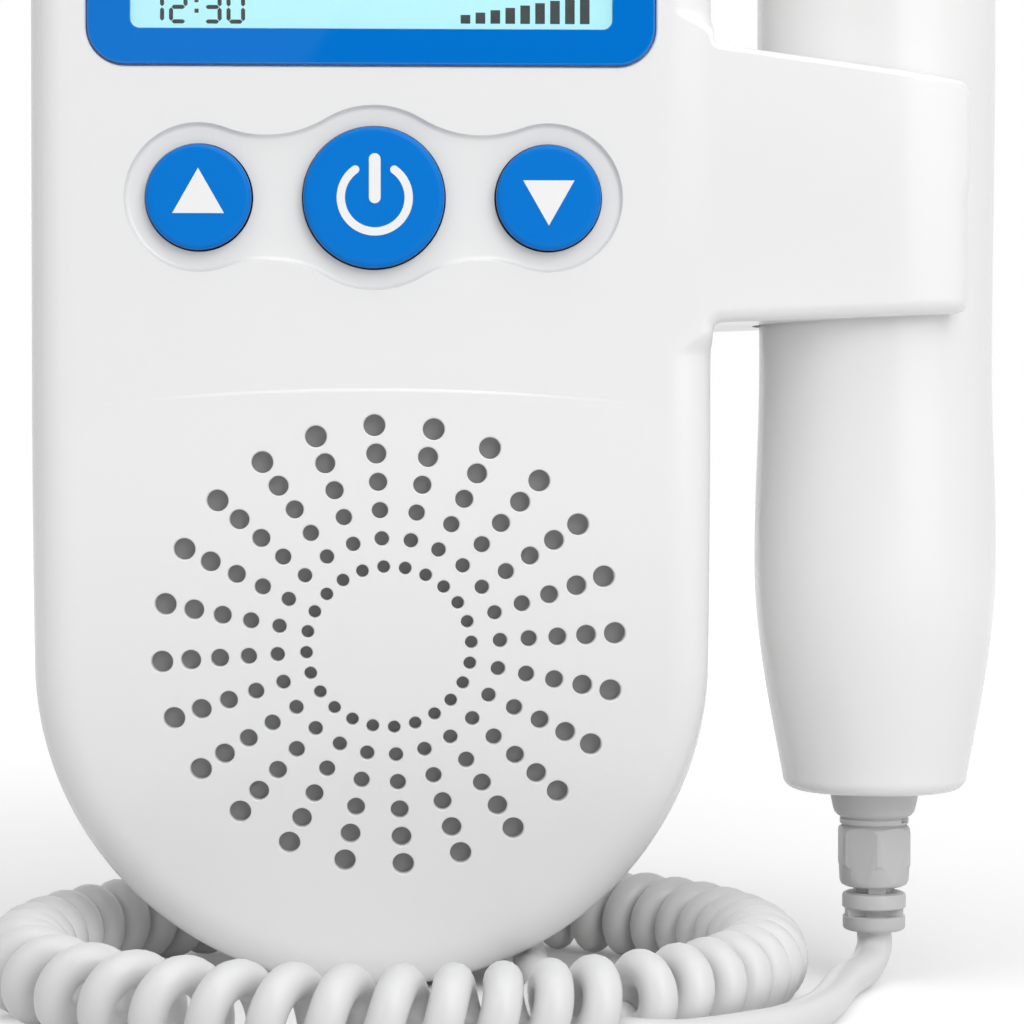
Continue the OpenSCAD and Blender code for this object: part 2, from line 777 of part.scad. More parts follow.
function ease(t) = (1 - cos(180 * t)) / 2;
function blend_r(z, z0, r0, z1, r1) = r0 + (r1 - r0) * ease((z - z0) / (z1 - z0));
function handle_r(z) =
    z < swell_z ? probe_r - taper_drop * ease((swell_z - z) / taper_span)
    : z < waist_z ? blend_r(z, swell_z, probe_r, waist_z, waist_r)
    : blend_r(min(z, neck_z), waist_z, waist_r, neck_z, waist_r + neck_swell);
function head_profile_r(z) =
    blend_r(z, head_z, waist_r + neck_swell, head_end_z - head_rim_l, head_r);
handle_steps = 24;

module probe_handle() {
    lower = probe_z + probe_end_r;
    color(white) translate([probe_x, 0, 0]) rotate_extrude() difference() {
        polygon(concat(
            [[collar_bore_r, probe_z], [handle_r(lower) - probe_end_r, probe_z]],
            [for (k = [1 : 3]) [handle_r(lower) - probe_end_r * (1 - sin(k * 30)),
                                lower - probe_end_r * cos(k * 30)]],
            [for (k = [1 : handle_steps])
                let (z = lower + (head_z - lower) * k / handle_steps) [handle_r(z), z]],
            [[collar_bore_r, head_z]]));
        polygon(concat(
            [[0, probe_z + probe_wall + 1], [handle_r(lower) - probe_wall, probe_z + probe_wall + 1]],
            [for (k = [1 : 8])
                let (z = lower + (head_z + past - lower) * k / 8) [handle_r(z) - probe_wall, z]],
            [[0, head_z + past]]));
    }
}
module probe_head() {
    inside_r = waist_r - probe_wall - head_wall;
    spigot_r = waist_r - probe_wall - seat;
    color(white) translate([probe_x, 0, 0]) rotate_extrude() polygon(concat(
        [[inside_r, head_z - spigot_l], [spigot_r, head_z - spigot_l], [spigot_r, head_z]],
        [for (k = [0 : 8])
            let (z = head_z + (head_end_z - head_rim_l - head_z) * k / 8)
            [head_profile_r(z), z]],
        [[head_r, head_end_z - rim_side_l], [head_r - rim_edge, head_end_z - rim_top_drop],
         [head_r - rim_t, head_end_z - rim_top_drop],
         [head_r - rim_t, head_end_z - lens_seat_drop], [inside_r, head_z + head_rim_l / 2]]));
}
lens_r = head_r - rim_t - seat;
module probe_lens() {
    color([0.86, 0.87, 0.88]) translate([probe_x, 0, 0]) rotate_extrude() polygon(concat(
        [[0, head_end_z - lens_drop], [lens_r, head_end_z - lens_drop]],
        [for (k = [0 : 4]) [lens_r - lens_edge_r * (1 - cos(k * 22.5)),
                            head_end_z - lens_edge_r * (1 - sin(k * 22.5))]],
        [[0, head_end_z]]));
}
// Two half discs behind the lens, one that sends and one that receives
module transducer_crystals() {
    color([0.8, 0.7, 0.45]) translate([probe_x, 0, crystal_z]) linear_extrude(crystal_t)
        difference() {
            circle(crystal_r);
            square([crystal_gap, 2 * crystal_r + past], center = true);
        }
}
module probe_board() {
    color([0.1, 0.42, 0.22]) translate([probe_x, 0, 0])
        block(probe_board_w, -probe_board_t / 2, probe_board_t / 2,
              probe_z + probe_board_lift, crystal_z);
}

// ---- Strain relief ---------------------------------------------------------------------
// Each piece is turned, and named by the height of its ends above the floor.
cord_r = cord_d / 2;
sleeve_t = 1.2;
collar_bore_r = cord_r + sleeve_t + seat;
collar_t = 4;
collar_r = 4.9;
collar_neck_r = 3.7;
nut_r = 4;
nut_l = 6.6;
nut_taper = 2;
nut_nose_r = 2.3;
relief_r = 3.4;
relief_l = 4.8;
relief_disc_t = [1.6, 1.9];
relief_groove = 0.8;
relief_neck_r = 2.2;
relief_plug_l = 4;
collar_z0 = probe_z - collar_t;
nut_z0 = collar_z0 - nut_l;
relief_z0 = nut_z0 - relief_l;
module turned(profile) {
    translate([probe_x, 0, 0]) rotate_extrude() polygon(profile);
}
module cord_collar() {
    sleeve_end = probe_z + probe_wall + 1.5;
    color(grey) turned([[cord_r + seat, collar_z0], [collar_neck_r, collar_z0],
        [collar_neck_r, collar_z0 + 1.3], [collar_neck_r + 0.2, collar_z0 + 1.5],
        [collar_r, probe_z - 0.4], [collar_r, probe_z], [collar_bore_r - seat, probe_z],
        [collar_bore_r - seat, sleeve_end], [cord_r + seat, sleeve_end]]);
}
module cord_nut() {
    color(grey) intersection() {
        turned([[cord_r + seat, nut_z0], [nut_nose_r, nut_z0], [nut_r, nut_z0 + nut_taper],
                [nut_r + 0.5, nut_z0 + nut_taper + 1], [nut_r + 0.5, collar_z0],
                [cord_r + seat, collar_z0]]);
        translate([probe_x, 0, nut_z0 - past]) rotate([0, 0, 30])
            cylinder(r = nut_r / cos(30), h = collar_z0 - nut_z0 + 2 * past, $fn = 6);
    }
}
module cord_relief() {
    groove_z = relief_z0 + relief_disc_t[0];
    disc_z = groove_z + relief_groove;
    disc_end = disc_z + relief_disc_t[1];
    color(grey) turned([[0, relief_z0], [relief_r, relief_z0], [relief_r, groove_z],
        [relief_r - 0.3, groove_z], [relief_r - 0.3, disc_z], [relief_r, disc_z],
        [relief_r, disc_end], [relief_neck_r, disc_end], [relief_neck_r, nut_z0],
        [cord_r, nut_z0], [cord_r, nut_z0 + relief_plug_l], [0, nut_z0 + relief_plug_l]]);
}

// ---- Cord ------------------------------------------------------------------------------
// The curly section lies in a ring on the floor, round the foot of the housing. It starts
// at the right front, where the lead from the probe joins it, and runs clockwise seen from
// above to an end just behind its start, where the tail to the housing leaves it.
ring_x = body_x + 3.1;
ring_y = -10;
curl_r = curl_d / 2;
coil_start = -56.2;
coil_end = -43.2;
helix_r = curl_r - cord_r;
// Where on the section of the curly cord the lead joins it and the tail leaves it
join_out = helix_r * cos(45);
function ring_point(a, out, z) =
    [ring_x + (ring_r + out) * cos(a), ring_y + (ring_r + out) * sin(a), z];

// The grommet sits in a flat spot of the lower back
grommet_x = body_x + 12;
grommet_z = 20;
grommet_r = 2.9;
grommet_flange_r = 3.7;
grommet_flange_t = 1.2;
grommet_l = 3;
grommet_y = half_d - face_set(grommet_z, back_bend) - 0.8;

lead_points = concat(
    [[probe_x, 0, relief_z0], [probe_x, -0.5, 4], [probe_x - 0.8, -2.4, 2.6],
     [34.5, -5.6, 2.1], [32.6, -10, 2], [30.7, -15.5, 2], [28.8, -22.8, 2], [26.1, -30.5, 2]],
    [ring_point(-36.5, 8.4, 2), ring_point(-42.2, 7.2, 2), ring_point(-47, 5.2, 2.1),
     ring_point(-51.7, 3.2, 2.5),
     ring_point(coil_start, join_out, curl_r - join_out)]);
tail_points = concat(
    [ring_point(coil_end, -join_out, curl_r - join_out), ring_point(-47.2, -3, 2.6),
     ring_point(-50.7, -5, 2.1), ring_point(-54.2, -8.5, 2)],
    [[-0.6, -34.4, 2], [-2.2, -32.2, 2], [-1.9, -28, 2], [-0.8, -22, 2], [0, -15, 2],
     [-0.3, -8, 2], [-0.9, -2, 2], [-1, 4, 2],
     [-1.5, 10, 3.4], [-3, 13.8, 7.5], [-5, 15.8, 12.5],
     [grommet_x, grommet_y + grommet_l + 2.6, grommet_z - 3],
     [grommet_x, grommet_y + grommet_l + 2.1, grommet_z - 0.8],
     [grommet_x, grommet_y + grommet_l + 1.1, grommet_z],
     [grommet_x, grommet_y + grommet_l, grommet_z]]);

// A smooth route through the chosen points, cut into short steps
function spline(p, i, t) =
    let (a = p[max(i - 1, 0)], b = p[i], c = p[i + 1], d = p[min(i + 2, len(p) - 1)])
    0.5 * (2 * b + (c - a) * t + (2 * a - 5 * b + 4 * c - d) * t * t
        + (3 * b - a - 3 * c + d) * t * t * t);
function route(p, steps) = concat(
    [for (i = [0 : len(p) - 2]) for (s = [0 : steps - 1]) spline(p, i, s / steps)],
    [p[len(p) - 1]]);
function unit(v) = v / norm(v);
// Frames carried along the route without twist
function carried(side, dir) = unit(side - (side * dir) * dir);
function sides(dirs, first) = [for (i = 0, s = carried(first, dirs[0]); i < len(dirs);
    i = i + 1, s = i < len(dirs) ? carried(s, dirs[i]) : s) s];

// A round tube swept along a route. first_dir and last_dir square its two ends.
module swept_tube(path, r, first_dir, last_dir, ring_n = 8) {
    n = len(path);
    dirs = [for (i = [0 : n - 1]) i == 0 ? first_dir : i == n - 1 ? last_dir
        : unit(path[i + 1] - path[i - 1])];
    across = sides(dirs, [0.3, 0.5, 0.81]);
    points = [for (i = [0 : n - 1]) for (k = [0 : ring_n - 1])
        let (u = across[i], v = cross(dirs[i], u), a = 360 * k / ring_n)
        path[i] + r * (cos(a) * u + sin(a) * v)];
    faces = concat(
        [[for (k = [0 : ring_n - 1]) k]],
        [for (i = [0 : n - 2]) for (k = [0 : ring_n - 1])
            let (a = i * ring_n + k, b = i * ring_n + (k + 1) % ring_n)
            each [[a, a + ring_n, b + ring_n], [a, b + ring_n, b]]],
        [[for (k = [ring_n - 1 : -1 : 0]) (n - 1) * ring_n + k]]);
    polyhedron(points, faces, convexity = 8);
}

module cord_coil() {
    color(white) translate([ring_x, ring_y, curl_r])
        rotate_extrude(angle = coil_start - coil_end + 360, start = coil_end)
            translate([ring_r, 0]) circle(curl_r, $fn = 48);
}
module cord_lead() {
    color(white) swept_tube(route(lead_points, 3), cord_r, [0, 0, -1],
                            [sin(coil_start), -cos(coil_start), 0]);
}
module cord_tail() {
    color(white) swept_tube(route(tail_points, 3), cord_r,
                            [sin(coil_end), -cos(coil_end), 0], [0, -1, 0]);
}
module cord_grommet() {
    color(grey) translate([grommet_x, 0, grommet_z]) {
        rod_y(grommet_r - seat, grommet_y - wall, grommet_y);
        rod_y(grommet_flange_r, grommet_y, grommet_y + grommet_flange_t);
        rod_y(grommet_r - 0.3, grommet_y + grommet_flange_t, grommet_y + grommet_l);
    }
}

// ---- Drawing ---------------------------------------------------------------------------
front_shell();
back_shell();
battery_door();
lcd_bezel();
lcd_window();
lcd_panel();
lcd_backlight();
main_board();
tact_switches();
button_up();
button_power();
button_down();
speaker_mesh();
speaker_frame();
speaker_cone();
speaker_magnet();
battery_cell_left();
battery_cell_right();
battery_springs();
battery_plates();
case_screws();
board_screws();
earphone_socket();
cord_grommet();
cord_tail();
cord_coil();
cord_lead();
cord_relief();
cord_nut();
cord_collar();
probe_handle();
probe_head();
probe_lens();
transducer_crystals();
probe_board();
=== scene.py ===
# %% [markdown]
# # A handheld fetal doppler in the ring of its own curly cord
# The real thing is a glossy white monitor that stands on its round lower edge, inside the
# curly cord of its probe. The probe hangs in a C-shaped holder on the right. The CAD model
# gives every piece its size and place; this lesson gives the pieces their looks. Each
# finished piece rides on the CAD body that it moves with, except the cord's first piece.

import math

import bpy
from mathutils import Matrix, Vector


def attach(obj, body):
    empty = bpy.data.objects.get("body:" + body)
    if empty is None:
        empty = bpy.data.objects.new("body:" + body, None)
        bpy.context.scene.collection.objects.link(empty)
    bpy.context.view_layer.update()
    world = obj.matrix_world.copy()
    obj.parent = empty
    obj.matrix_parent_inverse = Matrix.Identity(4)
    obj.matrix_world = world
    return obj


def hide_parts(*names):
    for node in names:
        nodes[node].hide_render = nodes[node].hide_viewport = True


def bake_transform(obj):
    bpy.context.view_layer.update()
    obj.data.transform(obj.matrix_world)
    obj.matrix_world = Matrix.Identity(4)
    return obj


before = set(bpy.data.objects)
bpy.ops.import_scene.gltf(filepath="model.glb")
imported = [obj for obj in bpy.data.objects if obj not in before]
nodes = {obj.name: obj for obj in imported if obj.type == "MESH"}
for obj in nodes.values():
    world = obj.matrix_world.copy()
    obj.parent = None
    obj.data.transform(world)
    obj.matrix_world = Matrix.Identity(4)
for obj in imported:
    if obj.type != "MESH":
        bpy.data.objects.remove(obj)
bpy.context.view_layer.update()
scene = bpy.context.scene
mm = 0.001

# %% [markdown]
# ## The camera
# The photograph is taken from close by, at about 0.35 m, level with the middle of the
# speaker and a little right of it. A long lens on a small cut-out gives the same
# perspective. The lens isn't shifted: the camera turns slightly right and down instead, so
# that views from other sides stay centred.

# %% Camera
camera_data = bpy.data.cameras.new("photo_camera")
camera_data.sensor_width = 36.0
camera_data.lens = 112.5
camera = bpy.data.objects.new("photo_camera", camera_data)
scene.collection.objects.link(camera)
camera.location = (-15.0 * mm, -347.3 * mm, 58.0 * mm)
camera.rotation_euler = (math.radians(90 - 1.12), 0, math.radians(-1.957))
scene.camera = camera
print("camera at", [round(v, 4) for v in camera.location], "lens", camera_data.lens)

# %% [markdown]
# ## Small helpers
# Most pieces here are a closed skin: a row of loops, each with the same number of points,
# closed by a flat face at either end. In Blender that is a grid primitive whose rows are
# wrapped round the loops, merged at the seam and filled at both ends. Turned parts, softly
# rounded plates and the housing are all made that way, and openings are then cut with
# Boolean modifiers whose cutters have rounded mouths, so that no edge stays razor sharp.


# %% Select one piece
def only(piece):
    """Select this piece alone and make it active, so that operators act on nothing else."""
    if bpy.context.mode != "OBJECT":
        bpy.ops.object.mode_set(mode="OBJECT")
    bpy.ops.object.select_all(action="DESELECT")
    piece.select_set(True)
    bpy.context.view_layer.objects.active = piece
    return piece


def settle(piece):
    """Put the piece's place into its mesh, so that its object sits at the origin."""
    only(piece)
    bpy.ops.object.transform_apply(location=True, rotation=True, scale=True)
    return piece


# %% Skins: rows of loops, closed at both ends
def skin(name, rows):
    """A closed solid through rows of loops. Every row has the same number of points."""
    around = len(rows[0])
    bpy.ops.object.select_all(action="DESELECT")
    bpy.ops.mesh.primitive_grid_add(
        x_subdivisions=around, y_subdivisions=len(rows) - 1, size=0.01
    )
    piece = bpy.context.object
    piece.name = piece.data.name = name
    for r, row in enumerate(rows):
        for k in range(around + 1):
            piece.data.vertices[r * (around + 1) + k].co = row[k % around]
    only(piece)
    bpy.ops.object.transform_apply(location=True, rotation=True, scale=True)
    bpy.ops.object.mode_set(mode="EDIT")
    bpy.ops.mesh.select_mode(type="VERT")
    bpy.ops.mesh.select_all(action="SELECT")
    bpy.ops.mesh.remove_doubles(threshold=1e-7)
    bpy.ops.mesh.select_all(action="DESELECT")
    bpy.ops.mesh.select_non_manifold()
    bpy.ops.mesh.fill_holes(sides=0) if around > 4 else bpy.ops.mesh.edge_face_add()
    bpy.ops.mesh.select_all(action="SELECT")
    bpy.ops.mesh.normals_make_consistent(inside=False)
    bpy.ops.object.mode_set(mode="OBJECT")
    return piece


def turned(name, centre, profile, axis="Z", around=96):
    """A lathe piece: profile is (radius, height) from one end to the other, in mm."""
    rows = []
    for radius, height in profile:
        loop = []
        for k in range(around):
            angle = 2 * math.pi * k / around
            u, v = radius * mm * math.cos(angle), radius * mm * math.sin(angle)
            h = height * mm
            place = (u, v, h) if axis == "Z" else (u, h, v)
            loop.append(Vector(centre) + Vector(place))
        rows.append(loop)
    return skin(name, rows)


# %% Cut, join and shade
def combine(piece, tool, operation):
    """Boolean with another solid, which is used up."""
    only(piece)
    step = piece.modifiers.new(operation.lower(), "BOOLEAN")
    step.operation = operation
    step.solver = "EXACT"
    step.object = tool
    bpy.ops.object.modifier_apply(modifier=step.name)
    bpy.data.objects.remove(tool, do_unlink=True)
    return piece


def smooth(piece, angle=30):
    """Smooth shading, except over edges sharper than the angle."""
    only(piece)
    bpy.ops.object.shade_smooth_by_angle(angle=math.radians(angle))
    return piece


def block(name, low, high):
    """A box from one corner to the other, in mm."""
    bpy.ops.object.select_all(action="DESELECT")
    centre = [(a + b) / 2 * mm for a, b in zip(low, high)]
    bpy.ops.mesh.primitive_cube_add(size=1, location=centre)
    piece = bpy.context.object
    piece.name = piece.data.name = name
    piece.scale = [(b - a) * mm for a, b in zip(low, high)]
    return settle(piece)


def place(piece, body, slot, material, *stands_for):
    """Give a finished piece its material, its body and the nodes it stands for; slot is not
    used.
    """
    piece.data.materials.clear()
    piece.data.materials.append(material)
    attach(piece, body)
    if stands_for:
        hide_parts(*stands_for)
    print(piece.name, "rides on", body, "with", len(piece.data.polygons), "faces")
    return piece


# %% [markdown]
# ## Materials
# Nearly all of the object is moulded plastic. Real mouldings are never quite even: the gloss
# has a faint orange peel and the colour varies a little from wall to wall. Each material
# here gets its colour and its gloss on the shader itself, and small noise patterns for the
# unevenness, on Object coordinates, so that the pattern stays on the piece. The buttons' side
# walls carry painted shade: a much darker blue than their faces, for the recess's shade on
# them. They share one material with the faces: its colour darkens with the depth below the
# rim.


# %% A plastic with its own unevenness
def plastic(name, colour, gloss, peel_size, peel_depth, specular=0.5, mottle=0.0):
    """colour is linear, gloss the roughness, peel_size the grain of the surface in mm."""
    material = bpy.data.materials.new(name)
    material.use_nodes = True
    tree = material.node_tree
    shader = tree.nodes["Principled BSDF"]
    shader.inputs["Base Color"].default_value = (*colour, 1)
    shader.inputs["Roughness"].default_value = gloss
    shader.inputs["Specular IOR Level"].default_value = specular
    where = tree.nodes.new("ShaderNodeTexCoord")
    grain = tree.nodes.new("ShaderNodeTexNoise")
    grain.inputs["Scale"].default_value = 1 / (peel_size * mm)
    grain.inputs["Detail"].default_value = 3
    tree.links.new(where.outputs["Object"], grain.inputs["Vector"])
    bump = tree.nodes.new("ShaderNodeBump")
    bump.inputs["Strength"].default_value = 0.25
    bump.inputs["Distance"].default_value = peel_depth * mm
    tree.links.new(grain.outputs["Fac"], bump.inputs["Height"])
    tree.links.new(bump.outputs["Normal"], shader.inputs["Normal"])
    sheen = tree.nodes.new("ShaderNodeMapRange")
    sheen.inputs["To Min"].default_value = gloss * 0.85
    sheen.inputs["To Max"].default_value = gloss * 1.15
    tree.links.new(grain.outputs["Fac"], sheen.inputs["Value"])
    tree.links.new(sheen.outputs["Result"], shader.inputs["Roughness"])
    if mottle:
        cloud = tree.nodes.new("ShaderNodeTexNoise")
        cloud.inputs["Scale"].default_value = 1 / (12 * mm)
        tree.links.new(where.outputs["Object"], cloud.inputs["Vector"])
        tint = tree.nodes.new("ShaderNodeMix")
        tint.data_type = "RGBA"
        tint.inputs["A"].default_value = (*[c * (1 - mottle) for c in colour], 1)
        tint.inputs["B"].default_value = (*[min(1, c * (1 + mottle)) for c in colour], 1)
        tree.links.new(cloud.outputs["Fac"], tint.inputs["Factor"])
        tree.links.new(tint.outputs["Result"], shader.inputs["Base Color"])
    return material


# %% The finishes of this object
white_abs = plastic("white_glossy_abs", (0.87, 0.87, 0.868), 0.22, 0.9, 0.004, mottle=0.006)
blue_abs = plastic("blue_satin_abs", (0.001, 0.19, 0.665), 0.25, 0.8, 0.004, specular=0.1,
                   mottle=0.02)
# Painted shade: below the caps' rim the blue darkens towards navy, standing for the shade on
# their side walls.
cap_rim_y, cap_wall_y = -16.62, -16.35
tree = blue_abs.node_tree
where = tree.nodes.new("ShaderNodeTexCoord")
apart = tree.nodes.new("ShaderNodeSeparateXYZ")
wall_shade_mask = tree.nodes.new("ShaderNodeMapRange")
wall_shade_mask.inputs["From Min"].default_value = cap_rim_y * mm
wall_shade_mask.inputs["From Max"].default_value = cap_wall_y * mm
painted_wall_shade = tree.nodes.new("ShaderNodeMix")
painted_wall_shade.data_type = "RGBA"
painted_wall_shade.inputs["B"].default_value = (0.0005, 0.03, 0.12, 1)
face_tint = tree.nodes["Principled BSDF"].inputs["Base Color"].links[0].from_socket
tree.links.new(where.outputs["Object"], apart.inputs[0])
tree.links.new(apart.outputs["Y"], wall_shade_mask.inputs["Value"])
tree.links.new(wall_shade_mask.outputs["Result"], painted_wall_shade.inputs["Factor"])
tree.links.new(face_tint, painted_wall_shade.inputs["A"])
tree.links.new(painted_wall_shade.outputs["Result"],
               tree.nodes["Principled BSDF"].inputs["Base Color"])
blue_gloss = plastic("blue_polished_abs", (0.001, 0.178, 0.64), 0.04, 1.5, 0.001,
                     specular=0.4)
white_ink = plastic("white_printed_ink", (0.9, 0.9, 0.9), 0.4, 0.15, 0.002)
cord_pvc = plastic("white_cord_pvc", (0.74, 0.74, 0.738), 0.34, 0.6, 0.006, mottle=0.03)
grey_pvc = plastic("light_grey_pvc", (0.56, 0.56, 0.56), 0.42, 0.4, 0.008, mottle=0.02)
black_abs = plastic("black_abs", (0.02, 0.02, 0.02), 0.4, 0.3, 0.006)
lens_abs = plastic("satin_lens_plastic", (0.74, 0.75, 0.77), 0.3, 0.5, 0.003)
solder_mask = plastic("green_solder_mask", (0.03, 0.2, 0.08), 0.35, 0.5, 0.01, mottle=0.1)
milky_guide = plastic("milky_light_guide", (0.8, 0.83, 0.8), 0.5, 0.4, 0.004)
cell_jacket = plastic("dark_cell_jacket", (0.05, 0.06, 0.07), 0.3, 1.0, 0.004)
speaker_cloth = plastic("grey_speaker_cloth", (0.12, 0.12, 0.125), 0.8, 0.12, 0.03)
dust_cloth = plastic("grey_dust_cloth", (0.3, 0.3, 0.3), 0.85, 0.14, 0.03)
speaker_paper = plastic("black_speaker_paper", (0.03, 0.03, 0.03), 0.85, 0.3, 0.02)
crystal = plastic("sand_ceramic", (0.55, 0.46, 0.28), 0.5, 0.2, 0.01)
print("materials:", len(bpy.data.materials))


# %% Plated metal
def metal(name, colour, roughness):
    """Drawn or plated metal with fine brush lines along the height."""
    material = bpy.data.materials.new(name)
    material.use_nodes = True
    tree = material.node_tree
    shader = tree.nodes["Principled BSDF"]
    shader.inputs["Base Color"].default_value = (*colour, 1)
    shader.inputs["Metallic"].default_value = 1
    where = tree.nodes.new("ShaderNodeTexCoord")
    stretch = tree.nodes.new("ShaderNodeMapping")
    stretch.inputs["Scale"].default_value = (9000, 9000, 500)
    brushed = tree.nodes.new("ShaderNodeTexNoise")
    brushed.inputs["Scale"].default_value = 1
    uneven = tree.nodes.new("ShaderNodeMapRange")
    uneven.inputs["To Min"].default_value = roughness * 0.7
    uneven.inputs["To Max"].default_value = roughness * 1.3
    tree.links.new(where.outputs["Object"], stretch.inputs["Vector"])
    tree.links.new(stretch.outputs["Vector"], brushed.inputs["Vector"])
    tree.links.new(brushed.outputs["Fac"], uneven.inputs["Value"])
    tree.links.new(uneven.outputs["Result"], shader.inputs["Roughness"])
    return material


zinc = metal("zinc_plated_steel", (0.55, 0.55, 0.57), 0.3)
nickel = metal("nickel_plated_steel", (0.75, 0.74, 0.7), 0.22)

# %% [markdown]
# ## The cord
# A curly cord is one long cord: a short straight lead from the probe, 47 tight turns, and a
# straight tail to the housing. Its turns lie in a ring round the monitor's foot, and
# the ring is part of how the photograph looks, so it is drawn as a helix whose own axis is
# an arc. The first turns have to stretch when the probe is lifted, so the cord is made in two
# pieces that meet at the underside of a turn.

# %% The line that the cord follows
cord_d = 3.8
probe_x = 36.45
outlet_x, outlet_z = -6.15, 20
ring_x, ring_y, ring_r = -15.05, -10.0, 37.8
curl_r = 4.9
helix_r = curl_r - cord_d / 2
turns = 47.25
first_phase = -45.0
curl_places = [
    (0, -59.1), (0.625, -60.8), (4.375, -88.2), (5.375, -96.2), (6.375, -103.9),
    (7.375, -112.2), (8.375, -121.0), (9.375, -130.0), (10.375, -139.5), (11.375, -149.5),
    (12.375, -160.0), (13.375, -169.0), (14.375, -177.0), (45.625, -404.0), (46.625, -412.4),
    (turns, -414.1),
]
left_swell = 1.6
lead_turns = 12.25
hand_over = 0.24
steps_per_turn = 30


def coil_point(turn):
    """A point of the curly section after so many turns, in mm."""
    for (t0, a0), (t1, a1) in zip(curl_places, curl_places[1:]):
        if turn <= t1:
            break
    around = math.radians(a0 + (a1 - a0) * (turn - t0) / (t1 - t0))
    phase = math.radians(first_phase - 360 * turn)
    out = ring_r + helix_r * math.cos(phase)
    out += left_swell * max(0, -math.cos(around)) ** 2
    return (
        ring_x + out * math.cos(around),
        ring_y + out * math.sin(around),
        curl_r + helix_r * math.sin(phase),
    )


def through(points, steps):
    """A smooth route through the points (Catmull-Rom), cut into short steps."""
    route = []
    for i in range(len(points) - 1):
        a, b = Vector(points[max(i - 1, 0)]), Vector(points[i])
        c, d = Vector(points[i + 1]), Vector(points[min(i + 2, len(points) - 1)])
        for s in range(steps):
            t = s / steps
            route.append(0.5 * (2 * b + (c - a) * t + (2 * a - 5 * b + 4 * c - d) * t * t
                                + (3 * b - a - 3 * c + d) * t * t * t))
    return route + [Vector(points[-1])]


def ring_point(angle, out, z):
    """A point so far outside the middle line of the ring, at this angle round it."""
    angle = math.radians(angle)
    return (ring_x + (ring_r + out) * math.cos(angle),
            ring_y + (ring_r + out) * math.sin(angle), z)


lead_route = [
    (probe_x, 0, 7.4), (probe_x, 0, 5.6), (probe_x, -0.5, 4), (probe_x - 0.8, -2.4, 2.6),
    (34.5, -5.6, 2.1), (32.6, -10, 2), (30.7, -15.5, 2), (28.8, -22.8, 2), (26.1, -30.5, 2),
    ring_point(-36.5, 8.4, 2), ring_point(-43, 7.6, 2), ring_point(-48.5, 7, 2),
    ring_point(-53.5, 6.3, 2.05), ring_point(-57.4, 4.6, 2.2), coil_point(0.06),
    coil_point(0.12), coil_point(0.18), coil_point(hand_over),
]
tail_route = [
    coil_point(turns - hand_over), coil_point(turns - 0.16), coil_point(turns - 0.08),
    coil_point(turns), ring_point(-55, -5.2, 2.1), ring_point(-58, -8.5, 2),
    (-1.8, -35.2, 2), (-3.2, -33, 2), (-2.8, -28.5, 2), (-1.4, -22, 2), (-0.1, -15, 2),
    (-0.3, -8, 2), (-0.9, -2, 2), (-1, 4, 2),
    (-1.5, 10, 3.4), (-3, 13.8, 7.5), (-5, 15.8, 12.5), (outlet_x, 16.9, 17),
    (outlet_x, 16.4, 19.2), (outlet_x, 15.4, outlet_z), (outlet_x, 13.2, outlet_z),
]


def coil_stretch(first, last):
    """The curly section between two turns, as points close together."""
    count = round((last - first) * steps_per_turn)
    return [Vector(coil_point(first + (last - first) * i / count))
            for i in range(count + 1)]


lead_line = through(lead_route, 6) + coil_stretch(hand_over, lead_turns)[1:]
rest_line = coil_stretch(lead_turns, turns - hand_over) + through(tail_route, 6)[1:]


def length_of(line):
    """Length of a line in metres, from points in mm."""
    return sum((b - a).length for a, b in zip(line, line[1:])) * mm


print("cord:", round(length_of(lead_line), 3), "m and", round(length_of(rest_line), 3), "m")


# %% A round tube along a line
def cord_tube(name, line):
    """A mesh tube of the cord's diameter along the line."""
    curve = bpy.data.curves.new(name, "CURVE")
    curve.dimensions = "3D"
    curve.bevel_depth = cord_d / 2 * mm
    curve.bevel_resolution = 6
    curve.use_fill_caps = True
    spline = curve.splines.new("POLY")
    spline.points.add(len(line) - 1)
    for point, spot in zip(spline.points, line):
        point.co = (*[c * mm for c in spot], 1)
    piece = bpy.data.objects.new(name, curve)
    scene.collection.objects.link(piece)
    only(piece)
    bpy.ops.object.convert(target="MESH")
    piece = bpy.context.object
    piece.name = piece.data.name = name
    return smooth(piece, 60)


cord_first = cord_tube("cord_lead_and_first_turns", lead_line)
cord_rest = cord_tube("cord_ring_and_tail", rest_line)
for piece in (cord_first, cord_rest):
    piece.data.materials.append(cord_pvc)
[c * mm for c in coil_point(lead_turns)]
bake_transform(cord_first)
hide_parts("cord_lead")
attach(cord_rest, "housing")
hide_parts("cord_coil", "cord_tail")
print("cord pieces:", len(cord_first.data.polygons), len(cord_rest.data.polygons), "faces")

# %% [markdown]
# ## The housing's two shells
# The monitor is a stadium with a softly arched top, and the probe's holder is moulded in one
# with it. What makes such a moulding look right is its edge: the radius runs round the face,
# shrinks where the side turns into the holder, and carries on along the holder's edges. So
# each shell is built as one skin: a single outline with the holder in it, and loops that
# follow a radius which changes along that outline. The face then gets its form: flat above,
# broken along a faint arc, and curving back below, with the holder's end curving round
# the probe.

# %% The outline of the housing, with and without the holder
body_x = -18.15
body_r = 35.5
half_d = 16.0
wall = 2.2
bore_r = 13.4
holder_low, holder_high = 71.2, 100.0
holder_tip = 62.6
holder_tip_low, holder_tip_high = 72.2, 96.6
tip_r = 1.6
junction_r = 0.8


def arc(centre_x, centre_z, radius, start, end, steps):
    """Points (x, z, nx, nz) on an arc: the place and the outward normal."""
    points = []
    for i in range(steps + 1):
        a = math.radians(start + (end - start) * i / steps)
        points.append((centre_x + radius * math.cos(a), centre_z + radius * math.sin(a),
                       math.cos(a), math.sin(a)))
    return points


def hollow(centre_x, centre_z, radius, start, end, steps):
    """The same for an arc that the outline bends round the other way."""
    return [(x, z, -nx, -nz) for x, z, nx, nz in
            arc(centre_x, centre_z, radius, start, end, steps)]


